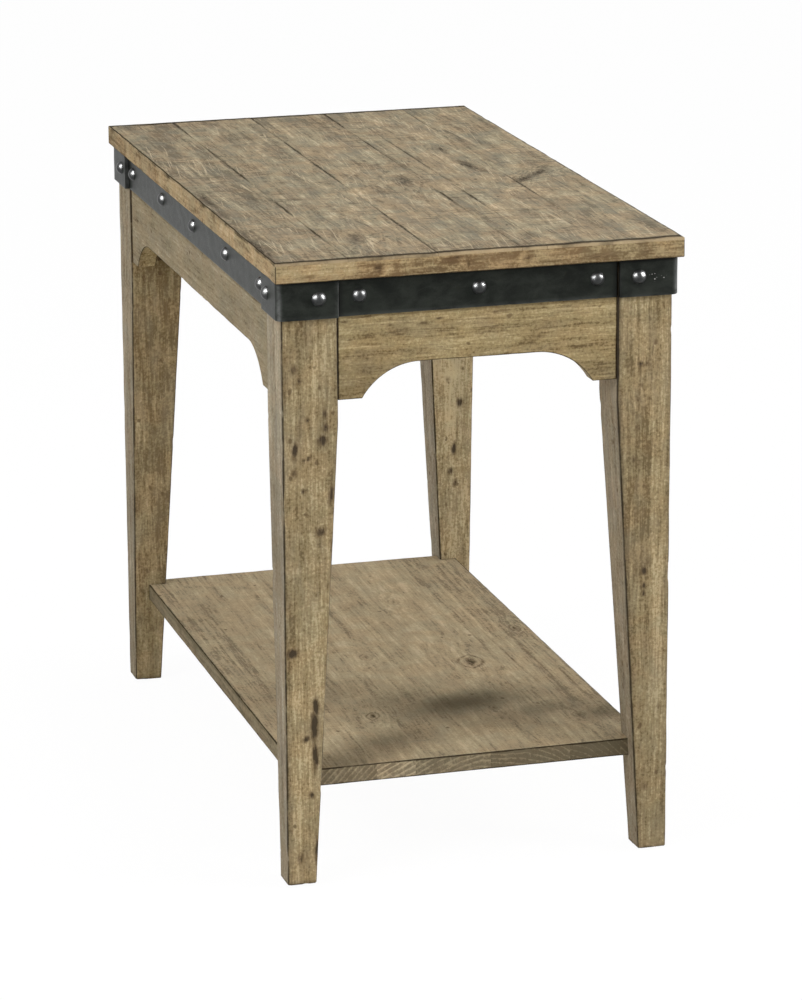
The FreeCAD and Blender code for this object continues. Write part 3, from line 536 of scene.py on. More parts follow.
def mark_wood(piece, grain, dark=0, pale=0, edge=EDGE_REACH, smudge=0, end=0, tone=0):
    """Store at each point its place in the grain and the marks that the wood material shows."""
    store(piece, "grain", *(grain * MM).T)
    store(piece, "marks", dark, pale, np.minimum(edge, EDGE_REACH) * MM)
    # The smudge share holds real dirt together with painted shadows and painted shade
    store(piece, "finish_and_shade", smudge, end, tone)


def add_wood(node, points, quads, slot, grain, **marks):
    """Add a board whose points carry its grain and its marks for the wood material."""
    mark_wood(add_piece(f"worn_{node}", points, quads.tolist(), slot, node), grain, **marks)


# Nodes

class Value:
    """What a node puts out; adding, subtracting or multiplying it adds the node for that."""

    def __init__(self, socket):
        self.socket = socket
        self.tree = socket.id_data

    def __add__(self, other):
        return calculate("ADD", self, other)

    def __sub__(self, other):
        return calculate("SUBTRACT", self, other)

    def __rsub__(self, other):
        return calculate("SUBTRACT", other, self)

    def __mul__(self, other):
        return calculate("MULTIPLY", self, other)

    def beside(self, output):
        """Another output of the same node."""
        return Value(self.socket.node.outputs[output])


def feed(socket, value):
    """Join a value to a socket, or set the socket to a plain number or colour."""
    if isinstance(value, Value):
        value.tree.links.new(value.socket, socket)
    elif socket.type == "RGBA":
        socket.default_value = (*value, 1)
    else:
        socket.default_value = value


def add_node(tree, kind, inputs, output=0, **settings):
    """Add a node with these inputs and settings, and give one of its outputs."""
    node = tree.nodes.new(f"ShaderNode{kind}")
    for name, setting in settings.items():
        setattr(node, name, setting)
    for name, value in inputs.items():
        feed(node.inputs[name], value)
    return Value(node.outputs[output])


def tree_of(*values):
    """The node tree of the first of these that isn't a plain number or colour."""
    return next(value.tree for value in values if isinstance(value, Value))


def calculate(kind, *values, clamp=False):
    return add_node(tree_of(*values), "Math", dict(enumerate(values)), operation=kind, use_clamp=clamp)


def combine(kind, first, second=(0, 0, 0), output=0):
    return add_node(first.tree, "VectorMath", {0: first, 1: second}, output, operation=kind)


def most(first, *others):
    """The largest of these values."""
    for other in others:
        first = calculate("MAXIMUM", first, other)
    return first


def stretch(vector, cell):
    """Coordinates in which one unit is a cell of this size, or of this size along each axis."""
    return combine("MULTIPLY", vector, tuple(1 / size for size in np.broadcast_to(cell, 3)))


def noise(vector, cell, detail=4.0, roughness=0.5, distortion=0.0):
    inputs = {"Vector": stretch(vector, cell), "Scale": 1.0, "Detail": detail, "Roughness": roughness,
              "Distortion": distortion}
    return add_node(vector.tree, "TexNoise", inputs, "Fac")


def fade(value, low, high):
    """0 below low and 1 above high, smooth between; high may be the lower one."""
    inputs = {"Value": value, "From Min": low, "From Max": high}
    return add_node(value.tree, "MapRange", inputs, "Result", interpolation_type="SMOOTHSTEP")


def blend(share, first, second, kind="MIX"):
    inputs = {"Factor": share, 6: first, 7: second}
    return add_node(tree_of(share, first), "Mix", inputs, 2, data_type="RGBA", blend_type=kind)


def weigh(base, *parts):
    """A base value plus each part's swing about one half times its weight."""
    for value, weight in parts:
        base = calculate("MULTIPLY_ADD", value, weight, -weight / 2) + base
    return base


def split(vector):
    """The three parts of a vector."""
    first = add_node(vector.tree, "SeparateXYZ", {0: vector})
    return [first.beside(number) for number in range(3)]


def attribute(shader, name):
    return add_node(shader.id_data, "Attribute", {}, "Vector", attribute_name=name)


def coordinates(shader, kind):
    return add_node(shader.id_data, "TexCoord", {}, kind)


def new_material(name):
    """An empty material with its shader, or the CAD frame's material of that name."""
    material = bpy.data.materials.get(name) or bpy.data.materials.new(name)
    material.use_nodes = True
    tree = material.node_tree
    tree.nodes.clear()
    output = tree.nodes.new("ShaderNodeOutputMaterial")
    shader = tree.nodes.new("ShaderNodeBsdfPrincipled")
    tree.links.new(shader.outputs[0], output.inputs["Surface"])
    return material, shader


def dress(shader, colour, roughness, height, depth, strength=1.0):
    """Give a shader its colour, its roughness and a bump of this depth in metres."""
    feed(shader.inputs["Base Color"], colour)
    feed(shader.inputs["Roughness"], roughness)
    bump = {"Strength": strength, "Distance": depth, "Height": height}
    feed(shader.inputs["Normal"], add_node(height.tree, "Bump", bump))


# Materials; the cells of their patterns are in metres, mostly across, through and along the grain

def ring_pattern(grain, pitch):
    """Late wood of the year rings, dark where a ring ends."""
    radius = combine("LENGTH", combine("MULTIPLY", grain, (1, 1, 0)), output=1)
    share = calculate("FRACT", calculate("DIVIDE", radius, pitch))
    return fade(share, 0.45, 0.92) * fade(share, 1.0, 0.95)


def worm_holes(grain, cell, radius, share):
    """Small dark pits in a share of the cells."""
    cells = add_node(grain.tree, "TexVoronoi", {"Vector": stretch(grain, cell), "Scale": 1.0}, "Color")
    chosen = calculate("GREATER_THAN", split(cells)[0], 1 - share)
    return chosen * fade(cells.beside("Distance"), radius, radius * 0.45)


def wood_tone(look, place, grain, bent, end, shift):
    """How light the wood is, from its rings, fibres, streaks and weathered patches."""
    ringed = fade(noise(place, 0.045, 4, 0.6), 0.4, 0.62) * look["ring"] + end * END_RING
    figure = weigh(
        0.5,
        (noise(grain, (0.0022, 0.0022, 0.03), 4, 0.7), look["fibre"]),
        (noise(bent, (0.0045, 0.0045, 0.13), 5, 0.62), look["streak"]),
        (noise(bent, (0.014, 0.014, 0.5), 3, 0.5), look["band"]),
        (noise(place, 0.03, 6, 0.68, 0.5), look["patch"]),
        (noise(place, (0.018, 0.003, 0.003), 4, 0.65, 0.4), look["brush"]),
        (noise(place, 0.0028, 3, 0.7), look["grit"]))
    return figure + shift - ring_pattern(bent, look["ring_pitch"]) * ringed


def wood_colour(look, place, tone, cloud, facing):
    """Wood from deep to light by its tone, weathered grey in clouds, a painted sheen on the sides, with a
    hue.
    """
    colour = blend(fade(tone, 0.05, 0.5), look["deep"], look["middle"])
    colour = blend(fade(tone, 0.5, 0.95), colour, look["light"])
    colour = blend(fade(cloud, 0.42, 0.72) * look["grey_share"], colour, look["grey"])
    side = tuple(part / whole for part, whole in zip(look["side"], look["middle"]))
    colour = blend(facing * look["side_share"], colour, side, "MULTIPLY")
    hue = fade(noise(place, 0.032, 4, 0.6, 0.5), 0.36, 0.64)
    return blend(look["hue"], colour, blend(hue, WARM_TINT, COOL_TINT), "MULTIPLY")


def scratch_lines(grain, turn, length):
    """Thin lines at an angle to the grain, on the wide face of a board."""
    inputs = {"Vector": grain, "Angle": math.radians(turn)}
    turned = add_node(grain.tree, "VectorRotate", inputs, rotation_type="Y_AXIS")
    return noise(turned, (0.0018, 0.012, length), 3, 0.6)


def scrapes(look, place, grain, pale):
    """How much pale scrapes show, in bunches and most on the painted pale marks."""
    lines = most(scratch_lines(grain, 2, look["stroke"]), scratch_lines(grain, -8, look["stroke"]))
    lines = lines + (noise(place, 0.04, 3, 0.6) - 0.5) * 0.3
    return fade(lines + pale * 0.14, 0.6, 0.72) * most(pale * 0.9, look["scratch"])


def ragged_marks(bent, dark):
    """The painted dark marks with ragged outlines."""
    ragged = calculate("MULTIPLY_ADD", noise(bent, (0.0028, 0.0028, 0.012), 5, 0.7, 0.3), 1.2, -0.6)
    return dark + ragged * calculate("MULTIPLY_ADD", dark, 1.5, 0.5)


def brown_marks(look, place, grain, bent, cloud, stained):
    """How much brown shows: worm holes, dashes, smears, saw marks and the painted dark marks."""
    warped = combine("ADD", grain, noise(place, 0.006, 3) * 0.006)
    pits = worm_holes(warped, (0.013, 0.013, 0.021), 0.2, 0.55 * look["specks"])
    dashes = noise(grain, (0.0016, 0.0016, look["dash"]), 3, 0.6)
    dashes = fade(dashes, 0.60, 0.70) * fade(cloud, 0.38, 0.55)
    sawn = fade(noise(place, (0.07, 0.09, 0.07), 2), 0.42, 0.6) * look["saw"]
    saw = fade(noise(place, (0.045, 0.004, 0.01), 4, 0.65), 0.53, 0.64) * sawn
    smears = fade(noise(bent, (0.006, 0.006, 0.04), 5, 0.68), 0.59, 0.72)
    return most(pits * 0.8, dashes * look["dashes"], smears * look["smears"], saw,
                fade(stained, 0.1, 0.95) * 0.9)


def arris_lines(look, place, edge):
    """Shares of the worn strip along an arris, and of the dark glaze along its inner side."""
    near, far = look["line"]
    width = look["line_width"] * MM
    wander = fade(noise(place, 0.03, 5, 0.6), 0.3, 0.7)
    beyond = edge - calculate("MULTIPLY_ADD", wander, (far - near) * MM, near * MM)
    line = fade(calculate("ABSOLUTE", beyond), width, 0.15 * width)
    faint = fade(noise(place, 0.018, 4, 0.6), 0.1, 0.45)
    return fade(beyond, 0.4 * width, -0.4 * width), line * faint


def wood_material(name, look):
    """Weathered pine with grain, glaze in its hollows and worn edges."""
    material, shader = new_material(name)
    place = coordinates(shader, "Object")
    grain = attribute(shader, "grain")
    dark, pale, edge = split(attribute(shader, "marks"))
    smudge, end, shift = split(attribute(shader, "finish_and_shade"))
    bent = combine("ADD", grain, noise(grain, (0.05, 0.05, 0.5), 3) * 0.012)
    cloud = noise(grain, (0.019, 0.019, 0.06), 6, 0.65, 0.4)
    # facing picks out the side faces, which get a painted sheen: another colour and calmer figure
    facing = fade(calculate("ABSOLUTE", split(coordinates(shader, "Normal"))[0]), 0.5, 0.95)
    tone = wood_tone(look, place, grain, bent, end, shift)
    tone = tone + (0.5 - tone) * (facing * (SIDE_CALM * look["side_share"]))
    colour = wood_colour(look, place, tone, cloud, facing)
    colour = blend(scrapes(look, place, grain, pale), colour, look["light"])

    stained = ragged_marks(bent, dark)
    brown = brown_marks(look, place, grain, bent, cloud, stained)
    colour = blend(brown, colour, look["knot"])
    worn, line = arris_lines(look, place, edge)
    colour = blend(worn * 0.75, colour, look["worn"])
    # Dark glaze here also paints the shadows and shade held in the smudge share
    glaze_and_shade = calculate("MAXIMUM", fade(stained, 0.65, 1.1) * 0.9, smudge * 0.8, clamp=True)
    colour = blend(glaze_and_shade, colour, look["glaze_and_shade"])
    colour = blend(line * 0.95, colour, LINE_GLAZE)

    shader.inputs["Specular IOR Level"].default_value = look["gloss"]
    roughness = weigh(0.68, (tone, -0.2), (glaze_and_shade, -0.1))
    height = weigh(0.5, (tone, 0.8), (brown, -0.7), (glaze_and_shade, -0.8), (line, -0.6))
    dress(shader, colour, roughness, height, 0.0005)
    return material


def iron_material(name, base, sheen, rough, gloss):
    """Blackened iron with soft mottling, rubbed edges with painted highlights, a painted shadow under the
    top, painted shade at strap ends and a few pale specks.
    """
    material, shader = new_material(name)
    place = coordinates(shader, "Object")
    mottle = noise(place, (0.018, 0.018, 0.012), 6, 0.6, 0.4)
    fine = noise(place, 0.0012, 3, 0.6)
    rubbed_and_highlit, specked, sooty_and_shaded = split(attribute(shader, "wear_and_light"))
    colour = blend(fade(weigh(mottle, (fine, 0.35)), 0.3, 0.75), base, sheen)
    # Rubbed edges, also painted highlights on bends and ends; then a painted shadow under the top's rim, and
    # painted shade with dirt at the ends
    colour = blend(rubbed_and_highlit * fade(mottle, 0.25, 0.6), colour, RUBBED_AND_HIGHLIT_IRON)
    soot_and_shade = most(fade(split(place)[2], RIM_SHADOW_TOP - 0.0045, RIM_SHADOW_TOP - 0.001), sooty_and_shaded)
    colour = blend(soot_and_shade * 0.8, colour, SOOT_AND_SHADE)
    specks = worm_holes(place, 0.0024, 0.34, 0.22) * fade(specked, 0.3, 0.6)
    colour = blend(specks, colour, CHIPPED_IRON)
    shader.inputs["Specular IOR Level"].default_value = gloss
    roughness = weigh(rough, (mottle, 0.25), (fine, 0.15))
    dress(shader, colour, roughness, weigh(0.5, (mottle, 0.8), (fine, 0.35)), 0.0004, 0.6)
    return material


def steel_material(name):
    """Zinc plated steel with a faint spangle."""
    material, shader = new_material(name)
    spangle = noise(coordinates(shader, "Object"), 0.0025, 4, 0.6)
    colour = blend(spangle, (0.36, 0.36, 0.34), (0.55, 0.55, 0.52))
    shader.inputs["Metallic"].default_value = 0.85
    dress(shader, colour, weigh(0.38, (spangle, 0.3)), spangle, 0.0001, 0.4)
    return material


def inner_wood_material(name):
    """Plain unfinished pine of the hidden pieces, with grain along the table."""
    material, shader = new_material(name)
    grain = combine("ADD", coordinates(shader, "Object"), (0.03, 0.0, 0.11))
    fibre = noise(grain, (0.001, 0.03, 0.001), 4, 0.6)
    streak = noise(grain, (0.006, 0.15, 0.006), 5, 0.6, 0.3)
    tone = weigh(0.5, (fibre, 0.5), (streak, 1.0), (noise(grain, 0.05, 3), 0.5))
    colour = blend(fade(tone, 0.2, 0.8), (0.34, 0.25, 0.15), (0.56, 0.44, 0.29))
    height = weigh(0.5, (fibre, 0.6), (streak, 0.5))
    dress(shader, colour, weigh(0.75, (streak, 0.2)), height, 0.0003, 0.7)
    return material


# Pieces of the top

def top_box():
    """The whole slab of the top: its planks and its edging together."""
    low, _ = box_of("front_edging")
    _, high = box_of("left_plank_front")
    reach_x = box_of("right_edging")[1][X]
    reach_y = box_of("back_edging")[1][Y]
    return np.array([-reach_x, -reach_y, low[Z]]), np.array([reach_x, reach_y, high[Z]])


def wear_rim(points):
    """Round the rim of the top, more where it has been knocked."""
    low, high = top_box()
    radius = RIM_RADIUS + 0.5 * field(points, (9, 9, 30), 12) + dents(points, 11, *RIM_DENTS)
    return trim_edges(points, low, high, radius)[0]


def rim_distance(points):
    """How far each point lies from the rim of the top; less so at the ends, where wear runs deeper."""
    inward = top_box()[1] - np.abs(points)
    return np.minimum(inward[:, X], END_WEAR * inward[:, Y])


def rim_wander(points):
    """How far the worn strip along the rim reaches onto the top, most along the front."""
    low, _ = top_box()
    from_left = np.clip((points[:, X] - low[X] - 60) / 160, 0, 1)
    from_front = np.clip(1.5 - (points[:, Y] - low[Y]) / (2 * RIM_ZONE), 0, 1)
    front = from_front * from_left * (0.5 + 0.5 * field(points, (26, 60, 60), 26))
    return front + waves(points, 27, (17, 27, 60), 0.35)


def rim_lines(lines, reach):
    """Lines of a plank, closer together where it comes near the rim of the top."""
    low, high = lines[0], lines[-1]
    for rim in (-reach, reach):
        if min(abs(low - rim), abs(high - rim)) < RIM_ZONE:
            inner = rim - math.copysign(RIM_ZONE, rim)
            zone = np.arange(min(rim, inner), max(rim, inner), RIM_STEP)
            zone = zone[(zone > low + SEAM_RADIUS) & (zone < high - SEAM_RADIUS)]
            lines = np.concatenate([lines, zone])
    return spaced(lines)


def seam_marks(points, low, high):
    """Dark glaze along a plank's seams, uneven along them and fainter at its butt joints."""
    reach = 1.7 + 0.9 * field(points, (6, 20, 40), 24)
    leftward = np.clip(-points[:, X] / 200, -1, 1)
    strength = np.clip(0.5 + 0.12 * leftward + 0.8 * field(points, (44, 60, 40), 25), 0.12, 1.0)
    gap = np.minimum(points - low, high - points)
    return strength * np.maximum(bell(gap[:, X], reach), bell(gap[:, Y], 1.6 * reach, 0.6))


def make_plank(node):
    """Face plank: worn seams, gouges and scrapes, and the rim where it reaches one."""
    low, high = box_of(node)
    slab_high = top_box()[1]
    lines = box_lines(low, high, PLANK_STEPS, SEAM_RADIUS)
    for axis in (X, Y):
        lines[axis] = rim_lines(lines[axis], slab_high[axis])
    flat, quads = box_surface(lines)
    rim = rim_distance(flat)
    upper = between(flat[:, Z], low[Z], high[Z])
    radius = SEAM_RADIUS * (1 + 0.45 * field(flat, (7, 16, 40), 21)) * (0.2 + 0.8 * upper)
    points, _ = trim_edges(flat, low, high, np.where(rim < 0.5, 0.15, radius))
    points = wear_rim(points)

    dark = paint(flat, TOP_DARK_MARKS, spread=MARK_SPREAD)
    pale = paint(flat, TOP_PALE_MARKS)
    wave = waves(flat, 22, *PLANK_WAVE) + waves(flat, 23, *PLANK_RIPPLE)
    level = np.random.default_rng(seed_of(node)).uniform(0, 0.25)
    points[:, Z] -= upper ** 3 * (wave + level + TOP_DIP * (dark + pale))

    seams = np.where(rim < 1.0, 0, seam_marks(flat, low, high))
    knots = [mark for mark in TOP_DARK_MARKS if mark[LENGTH_OF_MARK] < KNOT_LONGEST]
    tone = np.random.default_rng(seed_of(node) + 1).uniform(-0.05, 0.05) + TOP_RISE * flat[:, X]
    inward = np.min((slab_high - np.abs(flat))[:, :Z], axis=1)
    add_wood(node, points, quads, "plank_wood", grain_space(node, flat, GRAIN_ALONG_Y, knots=knots),
             dark=np.maximum(dark, seams), pale=pale, edge=rim - rim_wander(flat),
             tone=tone - bell(inward, *RIM_SOIL))


def make_edging(side):
    """Edging strip, mitred at its ends, rounded with the whole top."""
    node = f"{side}_edging"
    low, high = box_of(node)
    slab_high = top_box()[1]
    along, out = axes_of(side)
    flat, quads = box_surface(box_lines(low, high, in_axes(side, *EDGING_STEPS), RIM_RADIUS))
    outward = slab_high[out] - np.abs(flat[:, out])
    flat[:, along] *= 1 - outward / slab_high[along]
    run, height = flat[:, along], flat[:, Z]
    edge = np.abs(slab_high[along] - np.abs(run)) + outward
    tone = EDGING_FALL * (1 + np.clip(run / slab_high[along], -1, 1))
    soil = bell(run - EDGING_SOIL_PLACE, *EDGING_SOIL)
    in_front = side == "front"
    add_wood(node, wear_rim(flat), quads, "edging_wood", grain_space(node, flat, (Z, out, along)),
             dark=paint(flat, EDGING_DARK_MARKS, (along, Z)) * in_front,
             edge=np.minimum(edge, height - low[Z] + outward), tone=tone - soil * in_front)


# Legs

def leg_frame(corner):
    """Outer corner of a leg's foot, the signs that turn its own frame into the table's, and its size."""
    low, high = box_of(f"{corner}_leg")
    sign_x, sign_y = CORNERS[corner]
    origin = np.array([high[X] if sign_x > 0 else low[X], high[Y] if sign_y > 0 else low[Y], low[Z]])
    return origin, np.array([-sign_x, -sign_y, 1]), high - low


def leg_reach(z, size):
    """Far corner of a leg's section, in its own frame, at these heights."""
    wide = LEG_FOOT + (size[X] - LEG_FOOT) * np.minimum(z / LEG_TAPER_RISE, 1)
    return np.column_stack([wide, wide, np.full(len(z), size[Z])])


def make_leg(corner):
    """Leg: rounded outer arrises, inner faces tapered below, dents, and a housing for the shelf."""
    node = f"{corner}_leg"
    origin, signs, size = leg_frame(corner)
    points, quads = box_surface(box_lines(np.zeros(3), size, LEG_STEPS, LEG_RADIUS))
    if signs[X] * signs[Y] < 0:
        quads = quads[:, ::-1]
    reach = leg_reach(points[:, Z], size)
    edge = EDGE_SHARES[-1] * LEG_RADIUS
    for axis in (X, Y):
        inner = np.clip((points[:, axis] - edge) / (size[axis] - 2 * edge), 0, 1)
        points[:, axis] -= inner * (size[axis] - reach[:, axis])
    seed = seed_of(node) % 1000
    worn = LEG_RADIUS * (0.75 + 0.3 * field(points, (30, 30, 22), seed + 1))
    inside = np.minimum(points[:, X], points[:, Y]) > 0.5 * LEG_FOOT
    points, out = trim_edges(points, np.zeros(3), reach, np.where(inside, 0.6 * worn, worn))
    points -= out * (waves(points, seed + 3, *LEG_WAVE) + dents(points, seed + 2, *LEG_DENTS))[:, None]
    piece = add_piece(f"worn_{node}", origin + signs * points, quads.tolist(), "leg_wood", node)
    cut_housing(piece)
    mark_leg(piece, corner)


def mark_leg(piece, corner):
    """Marks, soil and worn arrises of a leg, by its faces and its height."""
    origin, signs, size = leg_frame(corner)
    look = CORNER_LOOKS[corner]
    points = mesh_points(piece)
    local = (points - origin) * signs
    across, depth, height = local.T
    reach = leg_reach(height, size)
    on_front = (depth < FACE_DEPTH) & (signs[Y] > 0)
    on_near = (depth > reach[:, Y] - FACE_DEPTH) & (signs[Y] < 0)
    on_side = across < 0.6 * LEG_RADIUS
    on_inner = across > reach[:, X] - 0.6 * LEG_RADIUS

    dark = LEG_MARK_DEPTH * np.maximum(paint(points, LEG_DARK_MARKS, (X, Z)) * on_front,
                                       paint(points, BACK_LEG_DARK_MARKS, (X, Z)) * on_near)
    inner = np.maximum(across - reach[:, X], depth - reach[:, Y])
    by_apron = (inner > -0.6 * LEG_RADIUS) & (height > size[Z] - JOINT_DEPTH)
    edge = edge_distance(local, np.zeros(3), reach)
    rightward = signs[X] * (across - 0.5 * reach[:, X]) > 0
    edge = np.where(rightward, RIGHT_ARRIS_FADE * edge, edge)

    lower = np.clip(1.2 - height / (0.55 * size[Z]), 0, 1)
    side_soil = SIDE_FOOT_SOIL * lower + bell(height - SIDE_SOIL_HEIGHT, SIDE_SOIL_REACH, look["side_soil"])
    smudge = np.max([
        np.where(on_side, side_soil, look["soil"] * lower),
        paint(points, LEG_SMUDGES, (X, Z)) * on_front,
        bell(across, *ARRIS_SOIL) * on_front,
        bell(height, *FOOT_SOIL),
        look["inner_soil"] * on_inner,
        bell(reach[:, X] - across, RUB_REACH, look["rub"]) * on_front,
        strap_shadow(points[:, Z])], axis=0)
    mark_wood(piece, grain_space(f"{corner}_leg", points, GRAIN_ALONG_Z),
              dark=np.where(by_apron, JOINT_GLAZE, dark), edge=np.maximum(edge, 0),
              tone=look["tone"] + LEG_SIDE_PAINTED_LIGHT * on_side, smudge=smudge)


def strap_shadow(heights):
    """Painted shadow of the iron band on the wood right under it."""
    below = box_of("front_strap")[0][Z] - heights
    return np.where(below > 0, bell(below, *STRAP_SHADE), 0.0)


def mesh_points(piece):
    """The piece's points in millimetres."""
    points = np.empty(3 * len(piece.data.vertices), np.float32)
    piece.data.vertices.foreach_get("co", points)
    return points.reshape(-1, 3) / MM


def cut_housing(piece):
    """Cut the shelf's corner out of a leg."""
    low, high = shelf_box()
    far = high + HOUSING_ROOM
    points, quads = box_surface([(-far[X], far[X]), (-far[Y], far[Y]), (low[Z] - HOUSING_ROOM, far[Z])])
    cutter = add_object("housing", points, quads.tolist())
    cut = piece.modifiers.new("housing", "BOOLEAN")
    cut.object = cutter
    cut.solver = "EXACT"
    bpy.context.view_layer.update()
    seen = piece.evaluated_get(bpy.context.evaluated_depsgraph_get())
    mesh = bpy.data.meshes.new_from_object(seen)
    piece.modifiers.clear()
    piece.data = mesh
    bpy.data.objects.remove(cutter)
    mesh.shade_smooth()
    mesh.set_sharp_from_angle(angle=math.radians(50))


# Aprons

def arch_height(along, half):
    """Height of an apron's underside above its lobes."""
    past = np.maximum(np.abs(along) - (half - ARCH_SHOULDER), 0)
    arc = np.sqrt(np.maximum(0, ARCH_RADIUS ** 2 - past ** 2)) - (ARCH_RADIUS - ARCH_RISE)
    return np.clip(arc, 0, ARCH_RISE)


def arch_lines(half):
    """Places along an apron at which the arch turns, closer together where it is steep."""
    steepest = math.acos((ARCH_RADIUS - ARCH_RISE) / ARCH_RADIUS)
    places = half - ARCH_SHOULDER + ARCH_RADIUS * np.sin(np.linspace(0, steepest, 19))
    places = np.concatenate([places, places[-1] + np.array([0.4, 1.2, 2.4])])
    return np.concatenate([-places, places])


def make_apron(side):
    """Apron with an arch, its face a little uneven and its lower arris worn."""
    node = f"{side}_apron"
    low, high = box_of(node)
    along, out = axes_of(side)
    half = high[along]
    lines = box_lines(low, high, in_axes(side, *APRON_STEPS), APRON_RADIUS)
    lines[along] = spaced(np.concatenate([lines[along], arch_lines(half)]), 0.15)
    flat, quads = box_surface(lines)
    rise = arch_height(flat[:, along], half)
    edge = EDGE_SHARES[-1] * APRON_RADIUS
    lifted = 1 - np.clip((flat[:, Z] - low[Z] - edge) / (high[Z] - low[Z] - 2 * edge), 0, 1)
    flat[:, Z] += rise * lifted
    bottom = np.broadcast_to(low, flat.shape).copy()
    bottom[:, Z] += rise

    seed = seed_of(node) % 1000
    worn = APRON_RADIUS * (0.8 + 0.3 * field(flat, 20, seed + 1))
    points, outward = trim_edges(flat, bottom, high, worn)
    pushed = waves(points, seed + 3, *APRON_WAVE) + dents(points, seed + 2, *APRON_DENTS)
    points -= outward * pushed[:, None]

    ends = 0.9 * np.clip(1.4 - (half - np.abs(flat[:, along])) / 1.6, 0, 1)
    pits = paint(flat, APRON_DARK_MARKS, (along, Z)) * (side == "front")
    # The smudge share holds the band's painted shadow and the side aprons' painted shade
    smudge = np.maximum(paint(flat, APRON_SMUDGES, (along, Z)), strap_shadow(flat[:, Z]))
    add_wood(node, points, quads, "apron_wood", grain_space(node, flat, (Z, out, along)),
             dark=np.maximum(ends, pits), edge=edge_distance(flat, bottom, high),
             smudge=smudge + SIDE_APRON_SHADE * (along == Y))


# Shelf

def shelf_box():
    """All shelf boards together."""
    return box_of("shelf_board_1")[0], box_of("shelf_board_5")[1]


def knot_lines(lines, knots, step):
    """Lines of a board, closer together across its knots, given as middle and width."""
    first = lines[0] + 2
    last = lines[-1] - 2
    for middle, width in knots:
        near = np.arange(middle - width, middle + width, step)
        lines = np.concatenate([lines, near[(near > first) & (near < last)]])
    return spaced(lines)


def make_shelf_board(node):
    """Shelf board, flush with its neighbours, with end grain on its front and back edges."""
    low, high = box_of(node)
    shelf_low, shelf_high = shelf_box()
    knots = [mark for mark in SHELF_KNOTS if mark[LENGTH_OF_MARK] < KNOT_LONGEST]
    streaks = [mark for mark in SHELF_KNOTS if mark not in knots]
    lines = box_lines(low, high, SHELF_STEPS, SHELF_RADIUS)
    lines[X] = knot_lines(lines[X], [(mark[X], mark[3]) for mark in knots], 1.0)
    lines[Y] = knot_lines(lines[Y], [(mark[Y], mark[2]) for mark in knots if low[X] < mark[X] < high[X]], 1.5)
    flat, quads = box_surface(lines)
    points, _ = trim_edges(flat, low, high, SHELF_JOINT_RADIUS)
    worn = SHELF_RADIUS * (0.8 + 0.4 * field(points, 14, 31))
    points, _ = trim_edges(points, shelf_low, shelf_high, worn)
    upper = between(flat[:, Z], low[Z], high[Z])
    points[:, Z] -= upper ** 4 * waves(flat, 32, *SHELF_WAVE)

    upper = flat[:, Z] > high[Z] - 0.5
    end = np.abs(flat[:, Y]) > high[Y] - 0.5
    side = np.abs(flat[:, X]) > shelf_high[X] - 0.5
    top_tone, end_soil = SHELF_TONES[node]
    dark, pale = paint_lenses(flat, knots)
    dark = np.maximum(dark, paint(flat, streaks)) * upper
    # The soft dark blotches on the shelf's upper face are painted shadows of the legs and top
    smudge = np.where(side, SHELF_SIDE_SOIL, paint(flat, SHELF_PAINTED_SHADOWS) * upper)
    smudge = np.where(end, END_SOIL_SHARE * end_soil, smudge)
    tone = np.where(end | side, SHELF_EDGE_TONE, top_tone) + END_SOIL_TONE * end_soil * end
    add_wood(node, points, quads, "shelf_wood", grain_space(node, flat, GRAIN_ALONG_Y, 26.0, knots),
             dark=dark, pale=pale * upper, smudge=smudge, end=end, tone=tone,
             edge=edge_distance(flat, shelf_low, shelf_high))


# Iron band

def beaten(points, broad, fine, seed):
    """How deep the hammer has beaten the iron, in broad and in fine cells."""
    return waves(points, seed, broad, IRON_WAVE) + waves(points, seed + 1, fine, 0.5 * IRON_WAVE)


def add_iron(node, points, quads, *wear_and_light):
    """Add a strap whose points say how much they are rubbed and carry a painted highlight, specked with
    chips, and darkened by painted shade with dirt.
    """
    store(add_piece(f"beaten_{node}", points, quads.tolist(), "band_iron", node), "wear_and_light", *wear_and_light)


def make_flat_strap(side):
    """Flat iron strap with edges a little uneven from the hammer."""
    node = f"{side}_strap"
    low, high = box_of(node)
    along, _ = axes_of(side)
    points, quads = box_surface(box_lines(low, high, in_axes(side, *STRAP_STEPS), IRON_RADIUS))
    points, outward = trim_edges(points, low, high, IRON_RADIUS)
    rubbed_and_highlit = bell(points[:, Z] - low[Z], *LOWER_EDGE_SHINE)
    specked = paint(points, IRON_SPECKS, (X, Z)) * (side == "front")
    # The ends are darkened by painted shade with dirt, where they meet the corner straps
    sooty_and_shaded = bell(high[along] - np.abs(points[:, along]), 1.8)
    points -= outward * beaten(points, (24, 24, 11), 9, 41)[:, None]
    add_iron(node, points, quads, rubbed_and_highlit, specked, sooty_and_shaded)


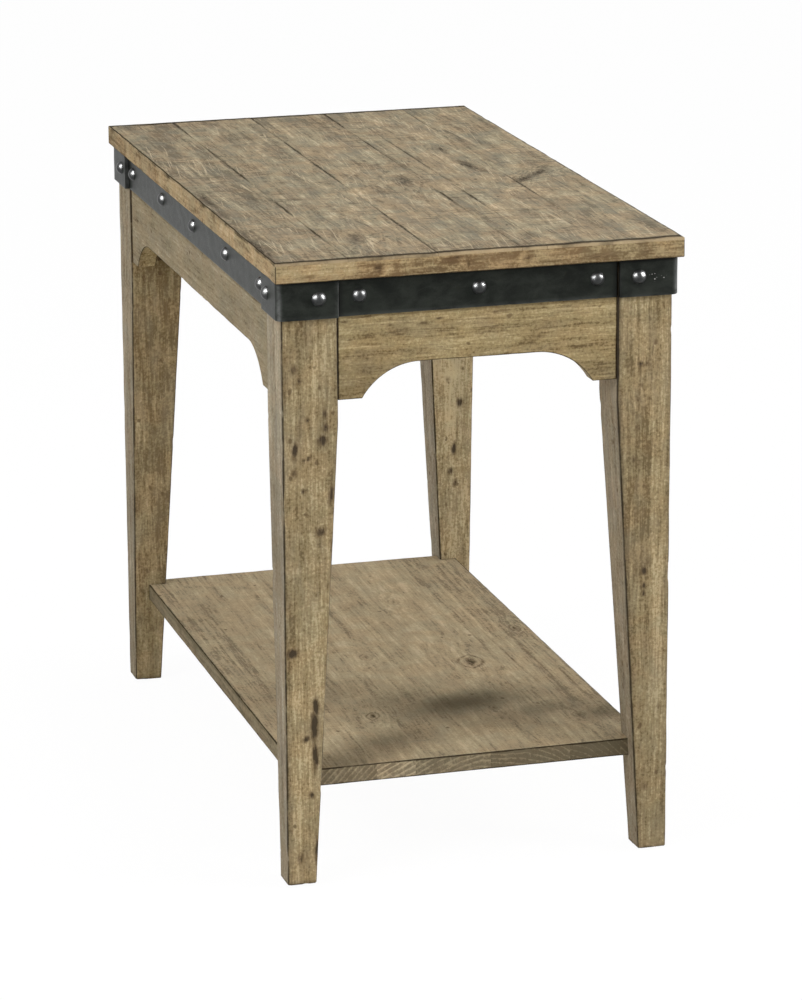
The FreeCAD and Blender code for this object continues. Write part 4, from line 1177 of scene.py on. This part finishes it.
def make_corner_strap(corner):
    """Iron strap bent round a leg: a flat bar in its own lengthwise frame, then bent."""
    node = f"{corner}_corner_strap"
    low, high = box_of(node)
    sign_x, sign_y = CORNERS[corner]
    shine = CORNER_LOOKS[corner]["shine"]
    straight = high[X] - low[X] - STRAP_BEND
    quarter = STRAP_BEND * math.pi / 4
    bar_low = np.array([-quarter - straight, 0, 0])
    bar_high = np.array([quarter + straight, STRAP_THICK, high[Z] - low[Z]])
    lines = box_lines(bar_low, bar_high, BENT_STRAP_STEPS, IRON_RADIUS)
    flat_lines = edge_lines(quarter, bar_high[X], BENT_STRAP_STEPS[X], IRON_RADIUS)
    bend_lines = np.linspace(-quarter, quarter, 13)
    lines[X] = np.unique(np.concatenate([-flat_lines, bend_lines, flat_lines]).round(4))
    points, quads = box_surface(lines)
    points, outward = trim_edges(points, bar_low, bar_high, IRON_RADIUS)
    seed = seed_of(node) % 1000
    points -= outward * beaten(points, (20, 20, 11), 8, seed)[:, None]

    run, depth, rise = points.T
    from_end = bar_high[X] - np.abs(run)
    # Rubbed places: the bend with a painted highlight of the lamp on it, the ends with a painted highlight,
    # and the lower edge
    rubbed_and_highlit = np.max([
        bell(run, 0.42 * quarter, 0.6) * (1.4 - 0.8 * rise / bar_high[Z]),
        bell(from_end, 0.9, shine),
        bell(rise, *LOWER_EDGE_SHINE)], axis=0)
    turn = np.clip(run / (2 * quarter), -0.5, 0.5) * math.pi / 2
    past = np.maximum(np.abs(run) - quarter, 0) * np.sign(run)
    radius = STRAP_BEND - depth
    diagonal = math.pi * 1.25 + turn
    x = STRAP_BEND + radius * np.cos(diagonal) + np.maximum(past, 0)
    y = STRAP_BEND + radius * np.sin(diagonal) + np.maximum(-past, 0)
    bent = np.column_stack([low[X] + x if sign_x < 0 else high[X] - x,
                            low[Y] + y if sign_y < 0 else high[Y] - y, low[Z] + rise])
    if sign_x * sign_y > 0:
        quads = quads[:, ::-1]
    specked = paint(bent, IRON_SPECKS, (X, Z)) * (bent[:, Y] < low[Y] + 1) * (sign_y < 0)
    # Painted shade with dirt at the ends, less where they carry the painted highlight
    sooty_and_shaded = bell(from_end, 1.2, 0.8 - shine)
    add_iron(node, bent, quads, rubbed_and_highlit, specked, sooty_and_shaded)


def nail_profile():
    """Half outline of a nail from its crown to its tip, as pairs of radius and height."""
    rim = NAIL_WIDTH / 2
    sphere = (rim ** 2 + NAIL_CROWN ** 2) / (2 * NAIL_CROWN)
    widest = math.acos((sphere - NAIL_CROWN) / sphere)
    dome = [(sphere * math.sin(a), sphere * math.cos(a) - sphere + NAIL_CROWN)
            for a in np.linspace(0, widest, 11)]
    shank = NAIL_SHANK / 2
    return dome + [(rim - 0.3, 0.0), (shank, 0.0), (shank, NAIL_POINT - NAIL_LENGTH), (0.0, -NAIL_LENGTH)]


def turned_surface(profile, count):
    """Points and faces of a closed profile turned round +Z; its first and last points lie on the axis."""
    points = [(0.0, 0.0, profile[0][1])]
    for radius, height in profile[1:-1]:
        for step in range(count):
            angle = 2 * math.pi * step / count
            points.append((radius * math.cos(angle), radius * math.sin(angle), height))
    points.append((0.0, 0.0, profile[-1][1]))
    last = 1 + (len(profile) - 3) * count
    faces = []
    for i in range(count):
        j = (i + 1) % count
        faces.append((0, 1 + i, 1 + j))
        faces.append((last + i, len(points) - 1, last + j))
        for start in range(1, last, count):
            faces.append((start + i, start + count + i, start + count + j, start + j))
    return np.array(points), faces


def make_nail(number, place, outward):
    """Domed nail with a slightly beaten head."""
    points, faces = turned_surface(nail_profile(), NAIL_POINTS_ROUND)
    beaten_in = 0.13 * (field(points, 3.6, 50 + number) - 1)
    points[:, :2] *= 1 + 0.03 * field(points, 5, 90 + number)[:, None] - 0.03
    points[:, Z] += np.where(points[:, Z] > 0.05, beaten_in * points[:, Z] / NAIL_CROWN, 0)
    turn = Vector(outward).to_track_quat("Z", "Y").to_matrix()
    points = points @ np.array(turn).T + np.array(place)
    nail = add_piece(f"band_nail_{number:02d}", points, faces, "nail_iron", "strap_nails")
    nail.data.set_sharp_from_angle(angle=math.radians(60))


def nail_places():
    """Seat and outward direction of each nail of the band."""
    height = box_of("front_strap")[1][Z] - NAIL_DROP
    places = []
    for side in SIDES:
        low, high = box_of(f"{side}_strap")
        along, out = axes_of(side)
        sign = -1 if side in ("front", "left") else 1
        count, inset = END_NAILS if along == X else SIDE_NAILS
        for share in np.linspace(-1, 1, count):
            place = in_axes(side, share * (high[along] - inset), (low if sign < 0 else high)[out], height)
            places.append((place, in_axes(side, 0.0, sign, 0.0)))
    inset = CORNER_NAIL_INSET + STRAP_THICK
    for corner, (sign_x, sign_y) in CORNERS.items():
        low, high = box_of(f"{corner}_corner_strap")
        edge_x = (low if sign_x < 0 else high)[X]
        edge_y = (low if sign_y < 0 else high)[Y]
        places.append(((edge_x - sign_x * inset, edge_y, height), (0.0, sign_y, 0.0)))
        places.append(((edge_x, edge_y - sign_y * inset, height), (sign_x, 0.0, 0.0)))
    return places


# Stage

def direction(azimuth, rise):
    """From the table outwards, turned from the front to the right and raised, both in degrees."""
    turn = math.radians(azimuth)
    up = math.radians(rise)
    return Vector((math.sin(turn) * math.cos(up), -math.cos(turn) * math.cos(up), math.sin(up)))


def add_camera():
    """Camera at the photograph's place, turned a little about its own axis."""
    back = direction(CAMERA_AZIMUTH, CAMERA_RISE)
    right = Vector((0, 0, 1)).cross(back).normalized()
    up = back.cross(right)
    roll = math.radians(CAMERA_ROLL)
    turned_right = right * math.cos(roll) + up * math.sin(roll)
    turned_up = up * math.cos(roll) - right * math.sin(roll)
    camera = bpy.data.objects.new("camera", bpy.data.cameras.new("camera"))
    camera.data.lens = CAMERA_LENS
    turn = Matrix((turned_right, turned_up, back)).transposed()
    camera.matrix_world = Matrix.Translation(CAMERA_TARGET + back * CAMERA_DISTANCE) @ turn.to_4x4()
    bpy.context.collection.objects.link(camera)
    bpy.context.scene.camera = camera


def add_lamp(name, azimuth, rise, power, size):
    """Soft lamp aimed at the middle of the table."""
    light = bpy.data.lights.new(name, "AREA")
    light.shape = "SQUARE"
    light.size = size
    light.energy = power
    lamp = bpy.data.objects.new(name, light)
    away = direction(azimuth, rise)
    lamp.location = Vector((0, 0, LAMP_AIM)) + away * LAMP_DISTANCE
    lamp.rotation_euler = away.to_track_quat("Z", "Y").to_euler()
    bpy.context.collection.objects.link(lamp)
    return lamp


def plain_rays(tree):
    """1 for the camera's, glossy and transmitted rays, which all see plain white."""
    seen = add_node(tree, "LightPath", {}, "Is Camera Ray")
    return most(seen, seen.beside("Is Glossy Ray"), seen.beside("Is Transmission Ray"))


def add_world():
    """Even studio light, plain white to the camera."""
    world = bpy.data.worlds.new("studio")
    bpy.context.scene.world = world
    world.use_nodes = True
    tree = world.node_tree
    tree.nodes.clear()
    output = tree.nodes.new("ShaderNodeOutputWorld")
    strength = calculate("MULTIPLY_ADD", plain_rays(tree), 1 - WORLD_LIGHT, WORLD_LIGHT)
    light = add_node(tree, "Background", {"Color": (1, 1, 1), "Strength": strength})
    feed(output.inputs["Surface"], light)


def add_floor():
    """Pale floor that the camera sees as white, with a soft shadow of the table."""
    material, shader = new_material("studio_floor")
    tree = shader.id_data
    shader.inputs["Base Color"].default_value = (0.9, 0.9, 0.9, 1)
    shader.inputs["Roughness"].default_value = 1.0
    output = shader.outputs[0].links[0].to_socket
    glow = add_node(tree, "Emission", {})
    share = plain_rays(tree) * FLOOR_GLOW
    feed(output, add_node(tree, "MixShader", {0: share, 1: Value(shader.outputs[0]), 2: glow}))
    reach = FLOOR_REACH / MM
    points = np.array([(-reach, -reach, 0), (reach, -reach, 0), (reach, reach, 0), (-reach, reach, 0)])
    add_object("floor", points, [(0, 1, 2, 3)], material)


materials = {name: wood_material(name, look) for name, look in LOOKS.items()}
materials["inner_wood"] = inner_wood_material("inner_wood")
materials["band_iron"] = iron_material("band_iron", *BAND_IRON)
materials["nail_iron"] = iron_material("nail_iron", *NAIL_IRON)
for steel in ("screw_steel", "glide_steel"):
    materials[steel] = steel_material(steel)

for plank in (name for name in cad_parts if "plank" in name):
    make_plank(plank)
for side_name in SIDES:
    make_edging(side_name)
    make_apron(side_name)
    make_flat_strap(side_name)
for corner_name in CORNERS:
    make_leg(corner_name)
    make_corner_strap(corner_name)
for board in sorted(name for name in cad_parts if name.startswith("shelf_board")):
    make_shelf_board(board)
for nail_number, (nail_place, nail_outward) in enumerate(nail_places(), start=1):
    make_nail(nail_number, nail_place, nail_outward)

add_camera()
for lamp_name, lamp_look in SOFTBOXES.items():
    add_lamp(lamp_name, *lamp_look)
for lamp_name, lamp_look in GLINTS.items():
    add_lamp(lamp_name, *lamp_look).visible_diffuse = False
add_world()
add_floor()
bpy.context.scene.view_settings.view_transform = "Standard"
